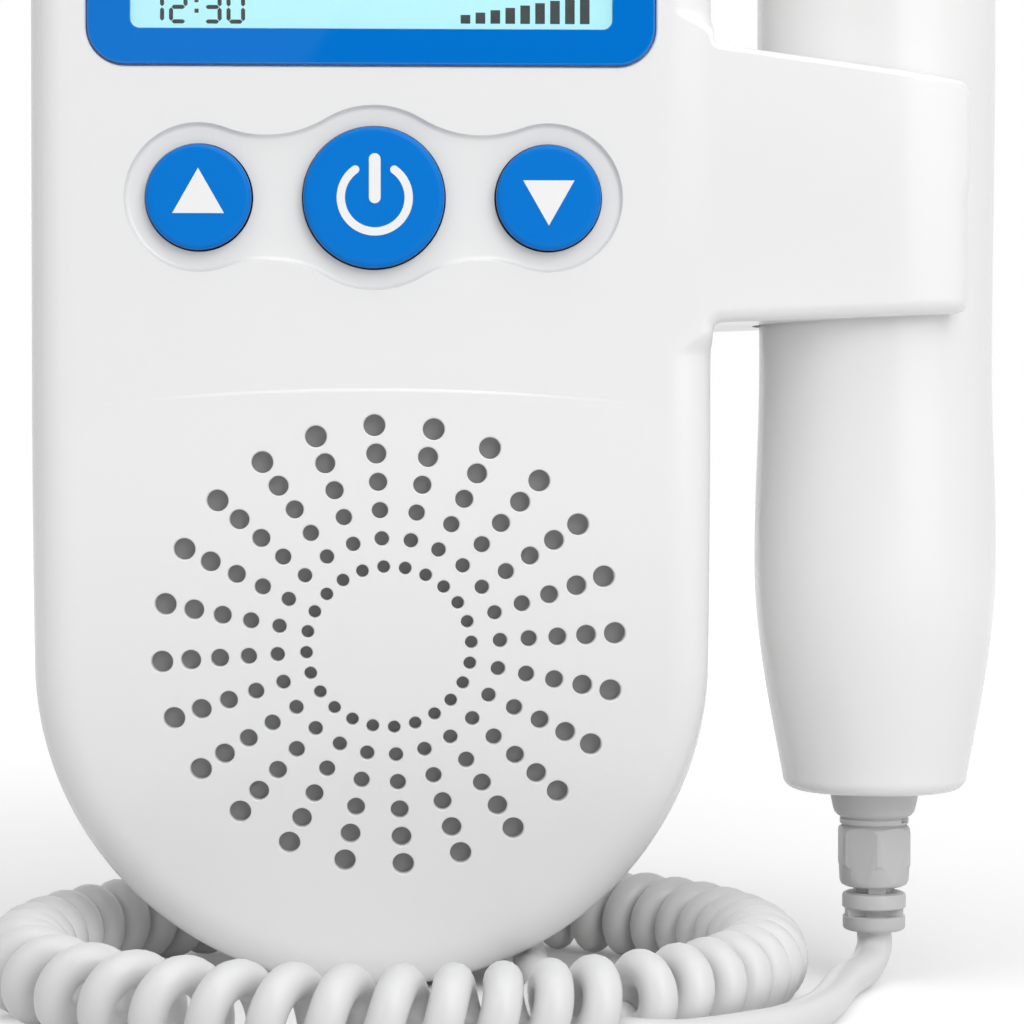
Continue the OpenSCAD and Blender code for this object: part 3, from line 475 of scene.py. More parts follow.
def line(a, b, steps):
    """Points along a straight side, without its last one."""
    run, rise = b[0] - a[0], b[1] - a[1]
    far = math.hypot(run, rise)
    return [(a[0] + run * i / steps, a[1] + rise * i / steps, rise / far, -run / far)
            for i in range(steps)]


body_h, arch_r, corner_r, shoulder_x = 142, 120, 16, 19.5
arch_a = math.degrees(math.acos(shoulder_x / (arch_r - corner_r)))
corner_z = body_h - arch_r + (arch_r - corner_r) * math.sin(math.radians(arch_a))


def right_side(with_holder):
    """The right half of the outline, from the bottom to the top."""
    side = arc(0, body_r, body_r, -90, 0, 44)
    if with_holder:
        low, high = holder_low - junction_r, holder_high + junction_r
        flare = body_r + junction_r
        side += line((body_r, body_r), (body_r, low - 5), 16)[1:]
        side += line((body_r, low - 5), (body_r, low), 20)
        side += hollow(flare, low, junction_r, 180, 90, 6)
        side += line((flare, holder_low), (holder_tip - tip_r, holder_tip_low), 14)[1:]
        side += arc(holder_tip - tip_r, holder_tip_low + tip_r, tip_r, -88, 0, 6)
        side += line((holder_tip, holder_tip_low + tip_r),
                     (holder_tip, holder_tip_high - tip_r), 10)[1:]
        side += arc(holder_tip - tip_r, holder_tip_high - tip_r, tip_r, 0, 82, 6)
        side += line((holder_tip - tip_r, holder_tip_high), (flare, holder_high), 14)[1:]
        side += hollow(flare, high, junction_r, 270, 180, 6)
        side += line((body_r, high), (body_r, high + 5), 20)[1:]
        side += line((body_r, high + 5), (body_r, corner_z), 8)
    else:
        side += line((body_r, body_r), (body_r, corner_z), 20)[1:]
    side += arc(shoulder_x, corner_z, corner_r, 0, arch_a, 16)
    side += arc(0, body_h - arch_r, arch_r, arch_a, 90, 8)[1:]
    return side


def whole_outline(with_holder):
    right = right_side(with_holder)
    left = [(-x, z, -nx, nz) for x, z, nx, nz in right_side(False)[1:-1]]
    return right + left[::-1]


outline_with_holder = whole_outline(True)
outline_plain = whole_outline(False)
print("outline points:", len(outline_with_holder), len(outline_plain))


# %% How the faces lie, and how round their edges are
def ease(t):
    """A smooth step from 0 to 1."""
    t = min(1, max(0, t))
    return t * t * (3 - 2 * t)


lip_ends = 30.4
crease_z, crease_bow, face_bow = 64, 506, 250
back_break_z, back_bow = 56, 200
front_edge_r, back_edge_r = 4.5, 8.0
holder_edge_r, holder_top_r, holder_mid = 1.6, 0.7, 85
run_out = 2.8


def face_set(x, z, front):
    """How far the face lies behind its flat part, x from the housing's centre line."""
    if front:
        crease, radius = crease_z - x * x / crease_bow, face_bow
    else:
        crease, radius = back_break_z, back_bow
    down = max(0, crease - z)
    set_back = (down * math.tan(math.radians(1)) + radius
                - math.sqrt(radius ** 2 - down ** 2))
    if front and abs(x) < lip_ends:
        above = max(0, z - crease)
        swell = max(0, 1 - above / 1.8) ** 2 * 0.1 + max(0, 1 - above / 0.3) * 0.12
        swell *= max(0, 1 - down / 6) ** 2
        set_back -= swell * (0.35 + 0.65 * ease(1.25 - abs(x + 1) / 22)) * ease(
            (lip_ends - abs(x)) / 4)
    past_probe = x - (probe_x - body_x)
    if past_probe > 0:
        set_back += half_d - math.sqrt(half_d ** 2 - min(past_probe, 12) ** 2)
    return set_back


def edge_radius(x, z, front):
    """The edge's radius: large on the housing, small on the holder, with a run-out."""
    on_body = front_edge_r if front else back_edge_r
    on_holder = holder_top_r if front and z > holder_mid else holder_edge_r
    if x > body_r + 0.01:
        return on_holder
    if x < body_r - 2 or abs(z - holder_mid) > 40:
        return on_body
    away = max(holder_low - junction_r - z, z - holder_high - junction_r)
    return on_holder + (on_body - on_holder) * ease(away / run_out)


edge_steps = 9


def shell_form(name, front, inset=0.0, base=0.0):
    """Half of the housing, from the plane y = base to its face. inset gives the cavity."""
    side = -1 if front else 1
    outline = outline_plain if inset else outline_with_holder
    rows = [[Vector(((body_x + x - inset * nx) * mm, base * mm, (z - inset * nz) * mm))
             for x, z, nx, nz in outline]]
    for k in range(edge_steps + 1):
        turn = math.radians(90 * k / edge_steps)
        loop = []
        for x, z, nx, nz in outline:
            radius = edge_radius(x, z, front)
            if inset:
                radius = (front_edge_r if front else back_edge_r) - inset
            e = inset + radius * (1 - math.cos(turn))
            deep = inset + radius * (1 - math.sin(turn))
            loop.append(Vector(((body_x + x - e * nx) * mm, side * (half_d - deep) * mm,
                                (z - e * nz) * mm)))
        rows.append(loop)
    piece = skin(name, rows)
    only(piece)
    bpy.ops.object.mode_set(mode="EDIT")
    near_crease = (1.8, 1.3, 0.9, 0.6, 0.42, 0.3, 0.2, 0.1, 0, -0.15, -0.5, -1.2, -2.2)
    cuts = [((0, 0, z * mm), (0, 0, 1)) for z in
            list(range(3, 61, 3)) + [crease_z + above for above in near_crease] + [67, 71]]
    round_the_grip = [54.6, 56, 57.2, 58.4, 59.4, 60.2]
    for x in list(range(-34, 35, 4)) + [-lip_ends, lip_ends] + round_the_grip:
        cuts.append((((body_x + x) * mm, 0, 0), (1, 0, 0)))
    for spot, normal in cuts:
        bpy.ops.mesh.select_all(action="SELECT")
        bpy.ops.mesh.bisect(plane_co=spot, plane_no=normal)
    bpy.ops.object.mode_set(mode="OBJECT")
    for vertex in piece.data.vertices:
        if side * vertex.co.y > max(0, side * base) * mm + 1e-6:
            x, z = vertex.co.x / mm - body_x, vertex.co.z / mm
            if front and abs(x) < lip_ends and 61 < z < 67:
                vertex.co.z -= (x * x / crease_bow * ease((z - 60.5) / 2)
                                * ease((67.5 - z) / 1.7) * mm)
            vertex.co.y -= side * mm * face_set(vertex.co.x / mm - body_x,
                                                vertex.co.z / mm, front)
    return piece


def mouth_wedge():
    """The gap in the C of the holder, seen from above a wedge that opens to the right."""
    reach = 40 * mm
    corners = [(probe_x * mm, 0)]
    for angle in (-60, 60):
        corners.append((probe_x * mm + reach * math.cos(math.radians(angle)),
                        reach * math.sin(math.radians(angle))))
    rows = [[Vector((x, y, z * mm)) for x, y in corners] for z in (60, 110)]
    return skin("mouth_wedge", rows)


def bored(piece):
    """Cut the probe's bore and the mouth of the holder."""
    bore = turned("bore", (probe_x * mm, 0, 0), [(bore_r, 60), (bore_r, 110)], around=128)
    combine(piece, bore, "DIFFERENCE")
    return combine(piece, mouth_wedge(), "DIFFERENCE")


housing_front = shell_form("housing_front", True)
combine(housing_front, shell_form("front_cavity", True, inset=wall, base=1), "DIFFERENCE")
bored(housing_front)
print("front shell:", len(housing_front.data.polygons), "faces")

# %% [markdown]
# ## What is let into the face
# The bezel's pocket, the wavy recess and the speaker's holes all have a slightly broken edge
# that catches the light. Each cutter therefore flares a little where it leaves the face.


# %% Plates with round corners, and their cutters
def round_plate(name, centre_x, low_z, width, height, radius, levels, around_corner=10):
    """A plate in the plane of the face. levels is (outward offset, y) from back to front."""
    rows = []
    for grow, y in levels:
        loop = []
        for sx, sz, start in ((1, -1, -90), (1, 1, 0), (-1, 1, 90), (-1, -1, 180)):
            cx = centre_x + sx * (width / 2 - radius)
            cz = low_z + height / 2 + sz * (height / 2 - radius)
            for k in range(around_corner + 1):
                a = math.radians(start + 90 * k / around_corner)
                r = max(radius + grow, 0.02)
                loop.append(Vector(((cx + r * math.cos(a)) * mm, y * mm,
                                    (cz + r * math.sin(a)) * mm)))
        rows.append(loop)
    return skin(name, rows)


bezel_w, bezel_h, bezel_z, bezel_r = 58.6, 36.0, 97.6, 3.9
lcd_w, lcd_h, lcd_z = 49.7, 28.4, 101.4
bezel_front, bezel_back = -16.2, -15.0

combine(housing_front, round_plate(
    "pocket", body_x, bezel_z, bezel_w, bezel_h, bezel_r,
    [(0.12, bezel_back), (0.12, -15.85), (0.32, -16.04), (0.6, -17)]), "DIFFERENCE")
combine(housing_front, round_plate(
    "window_opening", body_x, lcd_z - 1, lcd_w + 2, lcd_h + 2, 1.5,
    [(0.1, -12), (0.1, -15.5)]), "DIFFERENCE")

# %% The wavy recess and the three button holes
button_x, button_z, button_gap = body_x + 0.2, 84.0, 18.05
arrow_r, power_r = 5.45, 7.3
recess_depth = 0.6
power_lobe, arrow_lobe, wave_r = power_r + 2.2, arrow_r + 2.2, 12.0
wave_x = (button_gap ** 2 + (power_lobe + wave_r) ** 2
          - (arrow_lobe + wave_r) ** 2) / (2 * button_gap)
wave_z = math.sqrt((power_lobe + wave_r) ** 2 - wave_x ** 2)


def wavy_loop(grow, y):
    """The recess's outline, moved outwards by grow: lobes that hollow arcs join."""
    to_power = math.degrees(math.atan2(wave_z, wave_x))
    to_arrow = math.degrees(math.atan2(wave_z, wave_x - button_gap))
    quarter = arc(0, 0, power_lobe + grow, 90, to_power, 16)
    quarter += arc(wave_x, wave_z, wave_r - grow, to_power + 180, to_arrow + 180, 14)[1:]
    quarter += arc(button_gap, 0, arrow_lobe + grow, to_arrow, 0, 22)[1:]
    right = quarter + [(x, -z, 0, 0) for x, z, _, _ in quarter[::-1][1:]]
    loop = right + [(-x, z, 0, 0) for x, z, _, _ in right[::-1][1:-1]]
    return [Vector(((button_x + p[0]) * mm, y * mm, (button_z + p[1]) * mm)) for p in loop]


floor_y = recess_depth - half_d
hollow_r = 0.5
recess_rows = []
for k in range(5):
    turn = math.radians(22.5 * k)
    recess_rows.append(wavy_loop(hollow_r * (math.sin(turn) - 1),
                                 floor_y - hollow_r * (1 - math.cos(turn))))
recess_rows += [wavy_loop(0.12, -16.06), wavy_loop(0.4, -17)]
combine(housing_front, skin("recess", recess_rows), "DIFFERENCE")

for dx, r in ((-button_gap, arrow_r), (0, power_r), (button_gap, arrow_r)):
    hole = turned("button_hole", ((button_x + dx) * mm, 0, button_z * mm),
                  [(r + 0.12, -12), (r + 0.12, -15.34), (r + 0.17, -15.43), (r + 0.17, -17)],
                  axis="Y")
    combine(housing_front, hole, "DIFFERENCE")
print("front shell:", len(housing_front.data.polygons), "faces")

# %% The speaker's holes
grille_x, grille_z = body_x + 1.7, 37.4
spokes, rings = 24, 6


def grille_cutters():
    """All 144 holes as one cutter: each a drilled hole whose mouth is slightly rounded.

    The mesh is written at once, because 144 primitives and joins would take minutes.
    """
    made = []
    for ring in range(rings):
        r = (1.3 + 0.19 * ring) / 2
        for spoke in range(spokes):
            turn = math.radians((spoke + 0.24) * 360 / spokes)
            far = 8.6 + 3 * ring
            x = grille_x + far * math.cos(turn)
            z = grille_z + far * math.sin(turn) * 0.981
            face_y = -half_d + face_set(x - body_x, z, True)
            slope = (face_set(x - body_x, z - 0.5, True)
                     - face_set(x - body_x, z + 0.5, True))
            rows = []
            for grow, deep in ((0, 4.5), (0, 0.16), (0.05, 0.05), (0.14, -0.02), (0.2, -0.4)):
                loop = []
                for k in range(24):
                    a = 2 * math.pi * k / 24
                    dx, dz = (r + grow) * math.cos(a), (r + grow) * math.sin(a)
                    lean = -slope * dz if deep < 1 else 0
                    loop.append(Vector(((x + dx) * mm, (face_y + deep + lean) * mm,
                                        (z + dz) * mm)))
                rows.append(loop)
            made.append(rows)
    verts, faces = [], []
    for rows in made:
        base, n = len(verts), 24
        for row in rows:
            verts.extend(row)
        for r in range(len(rows) - 1):
            for k in range(n):
                a, b = base + r * n + k, base + r * n + (k + 1) % n
                faces.append((a, b, b + n, a + n))
        faces.append([base + k for k in reversed(range(n))])
        faces.append([base + (len(rows) - 1) * n + k for k in range(n)])
    mesh = bpy.data.meshes.new("grille_cutters")
    mesh.from_pydata(verts, [], faces)
    piece = bpy.data.objects.new("grille_cutters", mesh)
    scene.collection.objects.link(piece)
    only(piece)
    bpy.ops.object.mode_set(mode="EDIT")
    bpy.ops.mesh.select_all(action="SELECT")
    bpy.ops.mesh.normals_make_consistent(inside=False)
    bpy.ops.object.mode_set(mode="OBJECT")
    return piece


def behind_face(name, radius, near, far):
    """A round plate behind the speaker's holes that follows the face, from near to far."""
    rows = []
    for back, rings_out in ((near, range(1, 13)), (far, range(12, 0, -1))):
        for ring in rings_out:
            loop = []
            for k in range(64):
                a = 2 * math.pi * k / 64
                x = grille_x + radius * ring / 12 * math.cos(a)
                z = grille_z + radius * ring / 12 * math.sin(a)
                y = -half_d + face_set(x - body_x, z, True) + back
                loop.append(Vector((x * mm, y * mm, z * mm)))
            rows.append(loop)
    return skin(name, rows)


grille_r = 26.6
combine(housing_front, behind_face("grille_pocket", grille_r, 1.8, 6), "DIFFERENCE")
combine(housing_front, grille_cutters(), "DIFFERENCE")
smooth(housing_front, 28)
place(housing_front, "housing", "white_shell", white_abs, "front_shell")

# %% Dust cloth behind the holes
grille_cloth = behind_face("grille_cloth", grille_r - 0.1, 1.82, 2.1)
smooth(grille_cloth, 40)
place(grille_cloth, "housing", "speaker_cloth", dust_cloth)

# %% [markdown]
# ## The back shell
# Nobody sees the back in the photograph, but the part is looked at from all sides. Such a
# monitor has a battery lid at the back, four countersunk case screws, the earphone socket in
# its top edge and the cord's outlet low down.

# %% Back shell
housing_back = shell_form("housing_back", False)
combine(housing_back, shell_form("back_cavity", False, inset=wall, base=-1), "DIFFERENCE")
bored(housing_back)
bay_w, bay_y, bay_low, bay_high = 30.5, -1.3, 62.0, 118.5
door_w, door_t, door_low, door_high = 32.9, 2.2, 60.0, 120.5
gap = 0.3
combine(housing_back, block(
    "tub", (body_x - 18.3, bay_y - 1.5, door_low - 1.8),
    (body_x + 18.3, 15.0, door_high + 1.8)), "UNION")
combine(housing_back, block(
    "bay", (body_x - bay_w / 2, bay_y, bay_low),
    (body_x + bay_w / 2, 20, bay_high)), "DIFFERENCE")
combine(housing_back, round_plate(
    "door_seat", body_x, door_low - gap, door_w + 2 * gap, door_high - door_low + 2 * gap, 0.6,
    [(0, half_d - door_t - gap), (0, half_d - 0.2), (0.2, half_d + 0.02), (0.6, 18)], 4),
    "DIFFERENCE")
notch = turned("thumb_notch", (0, 0, 0), [(0.02, -4.6), (3.6, -4.4), (4.2, -3.6), (4.2, 3.6),
                                          (3.6, 4.4), (0.02, 4.6)], around=48)
notch.rotation_euler = (0, math.radians(90), 0)
notch.location = (body_x * mm, (half_d + 3) * mm, door_high * mm)
combine(housing_back, settle(notch), "DIFFERENCE")
pin_hole = turned("pin_hole", (0, 0, 0), [(0.8, -18.05), (0.8, 18.05)], around=24)
pin_hole.rotation_euler = (0, math.radians(90), 0)
pin_hole.location = (body_x * mm, 14.9 * mm, 61.1 * mm)
combine(housing_back, settle(pin_hole), "DIFFERENCE")
screw_spots = [(s * x, z) for s in (-1, 1) for x, z in ((24.5, 19.5), (24.0, 135.0))]
for dx, z in screw_spots:
    sink = turned("screw_sink", ((body_x + dx) * mm, 0, z * mm),
                  [(2.7, 6), (2.7, 15.2), (3.0, 15.5), (3.0, 20)], axis="Y", around=40)
    boss = turned("screw_boss", ((body_x + dx) * mm, 0, z * mm),
                  [(3.2, 0.5), (3.2, 9.5 if z < 60 else 13.0)], axis="Y", around=40)
    combine(housing_back, boss, "UNION")
    combine(housing_back, sink, "DIFFERENCE")
outlet = turned("outlet", (outlet_x * mm, 0, outlet_z * mm),
                [(2.9, 7), (2.9, 11.34), (3.8, 11.34), (3.8, 20)], axis="Y", around=40)
combine(housing_back, outlet, "DIFFERENCE")
socket_well = turned("socket_well", ((body_x - 14) * mm, 7 * mm, 0),
                     [(3.1, 136), (3.1, 140.9), (3.3, 141.2), (3.3, 150)], around=48)
combine(housing_back, socket_well, "DIFFERENCE")
smooth(housing_back, 28)
place(housing_back, "housing", "white_shell", white_abs, "back_shell")

# %% Battery lid, with its pins and its thumb grooves
lid = round_plate("battery_lid", body_x, 61.1, door_w, door_high - 61.1, 0.5,
                  [(-0.15, 13.8), (0, 13.95), (0, 15.75), (-0.07, 15.92), (-0.25, 16.0)], 4)
knuckle = turned("knuckle", (0, 0, 0), [(0.7, -17.65), (0.7, -16.45), (1.1, -16.45),
                                        (1.1, 16.45), (0.7, 16.45), (0.7, 17.65)], around=48)
knuckle.rotation_euler = (0, math.radians(90), 0)
knuckle.location = (body_x * mm, 14.9 * mm, 61.1 * mm)
combine(lid, settle(knuckle), "UNION")
for k in range(4):
    groove = turned("groove", (0, 0, 0), [(0.1, -7.3), (0.5, -6.9), (0.5, 6.9), (0.1, 7.3)],
                    around=24)
    groove.rotation_euler = (0, math.radians(90), 0)
    groove.location = (body_x * mm, 16.0 * mm, (door_high - 6 - 2 * k) * mm)
    combine(lid, settle(groove), "DIFFERENCE")
smooth(lid, 30)
place(lid, "door", "white_shell", white_abs, "battery_door")

# %% [markdown]
# ## The display
# The display is a pale cyan panel lit from behind, under a clear window, in a glossy blue
# bezel. The panel glows a little by itself, so it is the one material that emits light.

# %% Bezel
bezel = round_plate("display_bezel", body_x, bezel_z + 0.1, bezel_w, bezel_h - 0.2, bezel_r,
                    [(0, bezel_back), (0, -16.0), (-0.03, -16.1), (-0.1, -16.17),
                     (-0.2, bezel_front)])
opening = round_plate("bezel_opening", body_x, lcd_z, lcd_w, lcd_h, 1.0,
                      [(0, -14), (0, -16.08), (0.06, -16.17), (0.3, -16.5)])
combine(bezel, opening, "DIFFERENCE")
smooth(bezel, 14)
place(bezel, "housing", "blue_plastic", blue_gloss, "lcd_bezel")

# %% Window
clear = bpy.data.materials.new("clear_acrylic")
clear.use_nodes = True
clear_shader = clear.node_tree.nodes["Principled BSDF"]
clear_shader.inputs["Base Color"].default_value = (0.97, 1, 1, 1)
clear_shader.inputs["Roughness"].default_value = 0.02
clear_shader.inputs["IOR"].default_value = 1.45
clear_shader.inputs["Transmission Weight"].default_value = 1
window = round_plate("display_window", body_x, lcd_z - 0.9, lcd_w + 1.8, lcd_h + 1.8, 1.4,
                     [(0, -13.85), (0, -14.9), (-0.06, -14.97)])
smooth(window, 30)
place(window, "housing", "clear_window", clear, "lcd_window")

# %% The lit panel
lit = bpy.data.materials.new("lit_lcd")
lit.use_nodes = True
tree = lit.node_tree
shader = tree.nodes["Principled BSDF"]
shader.inputs["Base Color"].default_value = (0.12, 0.16, 0.17, 1)
shader.inputs["Roughness"].default_value = 0.4
shader.inputs["Emission Color"].default_value = (0.39, 0.78, 0.84, 1)
where = tree.nodes.new("ShaderNodeTexCoord")
dots = tree.nodes.new("ShaderNodeTexNoise")
dots.inputs["Scale"].default_value = 90
glow = tree.nodes.new("ShaderNodeMapRange")
glow.inputs["To Min"].default_value = 0.96
glow.inputs["To Max"].default_value = 1.04
tree.links.new(where.outputs["Object"], dots.inputs["Vector"])
tree.links.new(dots.outputs["Fac"], glow.inputs["Value"])
tree.links.new(glow.outputs["Result"], shader.inputs["Emission Strength"])
nodes["lcd_panel"].data.materials.clear()
nodes["lcd_panel"].data.materials.append(lit)

# %% Plain digits and a level bar on the panel
ink = plastic("dark_lcd_ink", (0.012, 0.022, 0.024), 0.5, 0.3, 0.001)
segments = {"0": "abcdef", "1": "bc", "2": "abged", "3": "abgcd", "4": "fgbc"}


def bar(corners):
    """A flat prism on the panel through corners (x, z) in mm."""
    return [[Vector((x * mm, y * mm, z * mm)) for x, z in corners] for y in (-13.8, -13.84)]


def segment_rows(x, z, w, h, t, name):
    half, g = t / 2, t * 0.12
    ends = {"a": ((x, z + h), (x + w, z + h)), "g": ((x, z + h / 2), (x + w, z + h / 2)),
            "d": ((x, z), (x + w, z)), "f": ((x, z + h / 2), (x, z + h)),
            "b": ((x + w, z + h / 2), (x + w, z + h)), "e": ((x, z), (x, z + h / 2)),
            "c": ((x + w, z), (x + w, z + h / 2))}
    (x0, z0), (x1, z1) = ends[name]
    if z0 == z1:
        x0, x1 = x0 + g, x1 - g
        return bar([(x0, z0), (x0 + half, z0 - half), (x1 - half, z1 - half), (x1, z1),
                    (x1 - half, z1 + half), (x0 + half, z0 + half)])
    z0, z1 = z0 + g, z1 - g
    return bar([(x0, z0), (x0 + half, z0 + half), (x1 + half, z1 - half), (x1, z1),
                (x1 - half, z1 - half), (x0 - half, z0 + half)])


def number_rows(text, x, z, w, h, t):
    rows = []
    for sign in text:
        if sign == ":":
            for dz in (0.3, 0.66):
                rows.append(bar([(x, z + h * dz), (x + t, z + h * dz),
                                 (x + t, z + h * dz + t), (x, z + h * dz + t)]))
            x += 2.6 * t
            continue
        rows += [segment_rows(x, z, w, h, t, s) for s in segments[sign]]
        x += w + 2.2 * t
    return rows


marks = number_rows("140", body_x - 15, lcd_z + 9, 7.6, 14, 1.7)
marks += number_rows("12:30", body_x - 23.2, lcd_z + 0.9, 1.5, 3.0, 0.42)
for k in range(9):
    x0, z0 = body_x + 9.2 + 1.55 * k, lcd_z + 0.8
    marks.append(bar([(x0, z0), (x0 + 1.0, z0), (x0 + 1.0, z0 + 0.9 + 0.25 * k),
                      (x0, z0 + 0.9 + 0.25 * k)]))
pieces = [skin("mark", rows) for rows in marks]
only(pieces[0])
for piece in pieces:
    piece.select_set(True)
bpy.ops.object.join()
marks_piece = bpy.context.object
marks_piece.name = marks_piece.data.name = "display_marks"
place(marks_piece, "housing", "lcd_glass", ink)

# %% [markdown]
# ## The buttons
# Each button is a turned cap with a softly rounded rim that stands nearly a millimetre proud
# of the face, so that it throws a small shadow into the recess. The arrows and the power
# sign are printed on, which shows as a slightly raised film of white ink.

# %% Button caps
cap_y = -16.9


def button_cap(name, dx, radius, body, node):
    profile = [(0.02, -10.9), (2.0, -10.9), (2.0, -12.7), (radius + 0.8, -12.7),
               (radius + 0.8, -13.6), (radius, -13.65)]
    rim = 0.55
    for k in range(7):
        turn = math.radians(15 * k)
        profile.append((radius - rim * (1 - math.cos(turn)),
                        cap_y + rim * (1 - math.sin(turn))))
    profile.append((radius - rim - 0.6, cap_y))
    profile.append((0.02, cap_y))
    cap = turned(name, ((button_x + dx) * mm, 0, button_z * mm), profile, axis="Y")
    smooth(cap, 40)
    return place(cap, body, "blue_plastic", blue_abs, node)


button_cap("cap_up", -button_gap, arrow_r, "up_button", "button_up")
button_cap("cap_power", 0, power_r, "power_button", "button_power")
button_cap("cap_down", button_gap, arrow_r, "down_button", "button_down")


# %% Printed signs
film_back, film_front = -16.88, -16.925


def film(name, body, loops):
    """A printed film on a button: each loop of (x, z) becomes a thin prism."""
    made = []
    for loop in loops:
        rows = [[Vector((x * mm, y * mm, z * mm)) for x, z in loop]
                for y in (film_back, film_front)]
        made.append(skin(name, rows))
    only(made[0])
    for piece in made:
        piece.select_set(True)
    if len(made) > 1:
        bpy.ops.object.join()
    piece = bpy.context.object
    piece.name = piece.data.name = name
    return place(piece, body, "white_shell", white_ink)


up_x, down_x = button_x - button_gap, button_x + button_gap
film("sign_up", "up_button", [[(up_x - 2.65, button_z - 1.7), (up_x + 2.65, button_z - 1.7),
                               (up_x, button_z + 2.95)]])
film("sign_down", "down_button", [[(down_x - 2.65, button_z + 1.75),
                                   (down_x, button_z - 2.9),
                                   (down_x + 2.65, button_z + 1.75)]])


def thick_arc(cx, cz, radius, width, start, end, steps=48):
    """The outline of an arc of this line width with round ends."""
    loop = []
    for k in range(steps + 1):
        a = math.radians(start + (end - start) * k / steps)
        loop.append((cx + (radius + width / 2) * math.cos(a),
                     cz + (radius + width / 2) * math.sin(a)))
    for k in range(1, 8):
        a = math.radians(end + 180 * k / 8)
        e = math.radians(end)
        loop.append((cx + radius * math.cos(e) + width / 2 * math.cos(a),
                     cz + radius * math.sin(e) + width / 2 * math.sin(a)))
    for k in range(steps + 1):
        a = math.radians(end + (start - end) * k / steps)
        loop.append((cx + (radius - width / 2) * math.cos(a),
                     cz + (radius - width / 2) * math.sin(a)))
    for k in range(1, 8):
        a = math.radians(start + 180 + 180 * k / 8)
        e = math.radians(start)
        loop.append((cx + radius * math.cos(e) + width / 2 * math.cos(a),
                     cz + radius * math.sin(e) + width / 2 * math.sin(a)))
    return loop


def stadium(x, low, high, width):
    """The outline of an upright bar with round ends."""
    r = width / 2
    loop = [(x + r * math.cos(math.radians(a)), high - r + r * math.sin(math.radians(a)))
            for a in range(0, 181, 15)]
    loop += [(x + r * math.cos(math.radians(a)), low + r + r * math.sin(math.radians(a)))
             for a in range(180, 361, 15)]
    return loop


film("sign_power", "power_button", [
    thick_arc(button_x + 0.1, button_z - 0.05, 3.5, 0.85, 125, 415),
    stadium(button_x + 0.1, button_z - 0.65, button_z + 4.5, 1.2)])

# %% [markdown]
# ## The probe
# The probe is turned: a handle that swells towards its lower end and has a softly rounded
# foot, and a head that opens like a trumpet to the contact face. Its skin uses the same
# curve as the CAD solid, only with many more steps.

# %% Handle and head
probe_low, belly_z, waist_z, neck_z, head_z = 21.0, 46, 67.0, 100.0, 120.0
belly_r, waist_r, neck_r = 13.1, 12.6, 12.85
foot_taper, foot_span = 4.9, 40
rim_z, rim_r, contact_low, contact_r, probe_top = 142, 17.2, 147.5, 15.5, 152


def half_wave(t):
    return (1 - math.cos(math.pi * t)) / 2


def between(z, z0, r0, z1, r1):
    return r0 + (r1 - r0) * half_wave((z - z0) / (z1 - z0))


def handle_radius(z):
    if z < belly_z:
        return belly_r - foot_taper * half_wave((belly_z - z) / foot_span)
    if z < waist_z:
        return between(z, belly_z, belly_r, waist_z, waist_r)
    return between(min(z, neck_z), waist_z, waist_r, neck_z, neck_r)


foot_r = 1.6
profile = [(3.3, probe_low), (handle_radius(probe_low + foot_r) - foot_r, probe_low)]
for k in range(1, 9):
    turn = math.radians(11.25 * k)
    profile.append((handle_radius(probe_low + foot_r) - foot_r * (1 - math.sin(turn)),
                    probe_low + foot_r * (1 - math.cos(turn))))
for k in range(1, 61):
    z = probe_low + foot_r + (head_z - 0.15 - probe_low - foot_r) * k / 60
    profile.append((handle_radius(z), z))
profile += [(12.75, head_z - 0.02), (10.5, head_z), (10.5, 34), (8.2, 26), (7, 24.5)]
handle = turned("probe_grip", (probe_x * mm, 0, 0), profile + [(3.3, 24.5)], around=128)
smooth(handle, 35)
place(handle, "probe", "white_shell", white_abs, "probe_handle")

profile = [(9.2, head_z - 4), (10.45, head_z - 4), (10.45, head_z - 0.01),
           (12.7, head_z + 0.02)]
for k in range(0, 33):
    z = head_z + 0.17 + (rim_z - head_z - 0.17) * k / 32
    profile.append((between(z, head_z, neck_r, rim_z, rim_r), z))
profile += [(rim_r, 149.0), (17.0, 149.5), (16.5, 149.8), (15.6, 149.8), (15.6, 143),
            (9.2, 126)]
head = turned("probe_crown", (probe_x * mm, 0, 0), profile, around=128)
smooth(head, 35)
place(head, "probe", "white_shell", white_abs, "probe_head")

profile = [(0.02, contact_low), (contact_r, contact_low)]
contact_round = 1.5
for k in range(9):
    turn = math.radians(11.25 * k)
    profile.append((contact_r - contact_round * (1 - math.cos(turn)),
                    probe_top - contact_round * (1 - math.sin(turn))))
profile.append((0.02, probe_top))
contact_face = turned("probe_face", (probe_x * mm, 0, 0), profile, around=128)
smooth(contact_face, 35)
place(contact_face, "probe", "lens_plastic", lens_abs, "probe_lens")

# %% [markdown]
# ## The strain relief
# Under the probe a light grey collar, a hexagonal nut and a slotted, ringed relief guide the
# cord. The slots between the rings let the relief bend; they show as dark windows.

# %% Collar
collar = turned("relief_collar", (probe_x * mm, 0, 0),
                [(2.0, 17.0), (3.42, 17.0), (3.42, 17.2), (3.7, 17.25), (3.75, 17.35),
                 (3.75, 17.8), (3.6, 17.9), (3.6, 18.0), (3.8, 18.05), (4.05, 18.18),
                 (4.35, 18.55), (4.5, 19.0), (4.85, 20.7), (4.9, 21.0), (3.1, 21.0),
                 (3.1, 24.4), (2.0, 24.4)], around=96)
clip_gap = block("clip_gap", (probe_x + 2.6, -4, 17.45), (probe_x + 4, -1.5, 17.95))
combine(collar, clip_gap, "DIFFERENCE")
smooth(collar, 40)
place(collar, "probe", "grey_plastic", grey_pvc, "cord_collar")

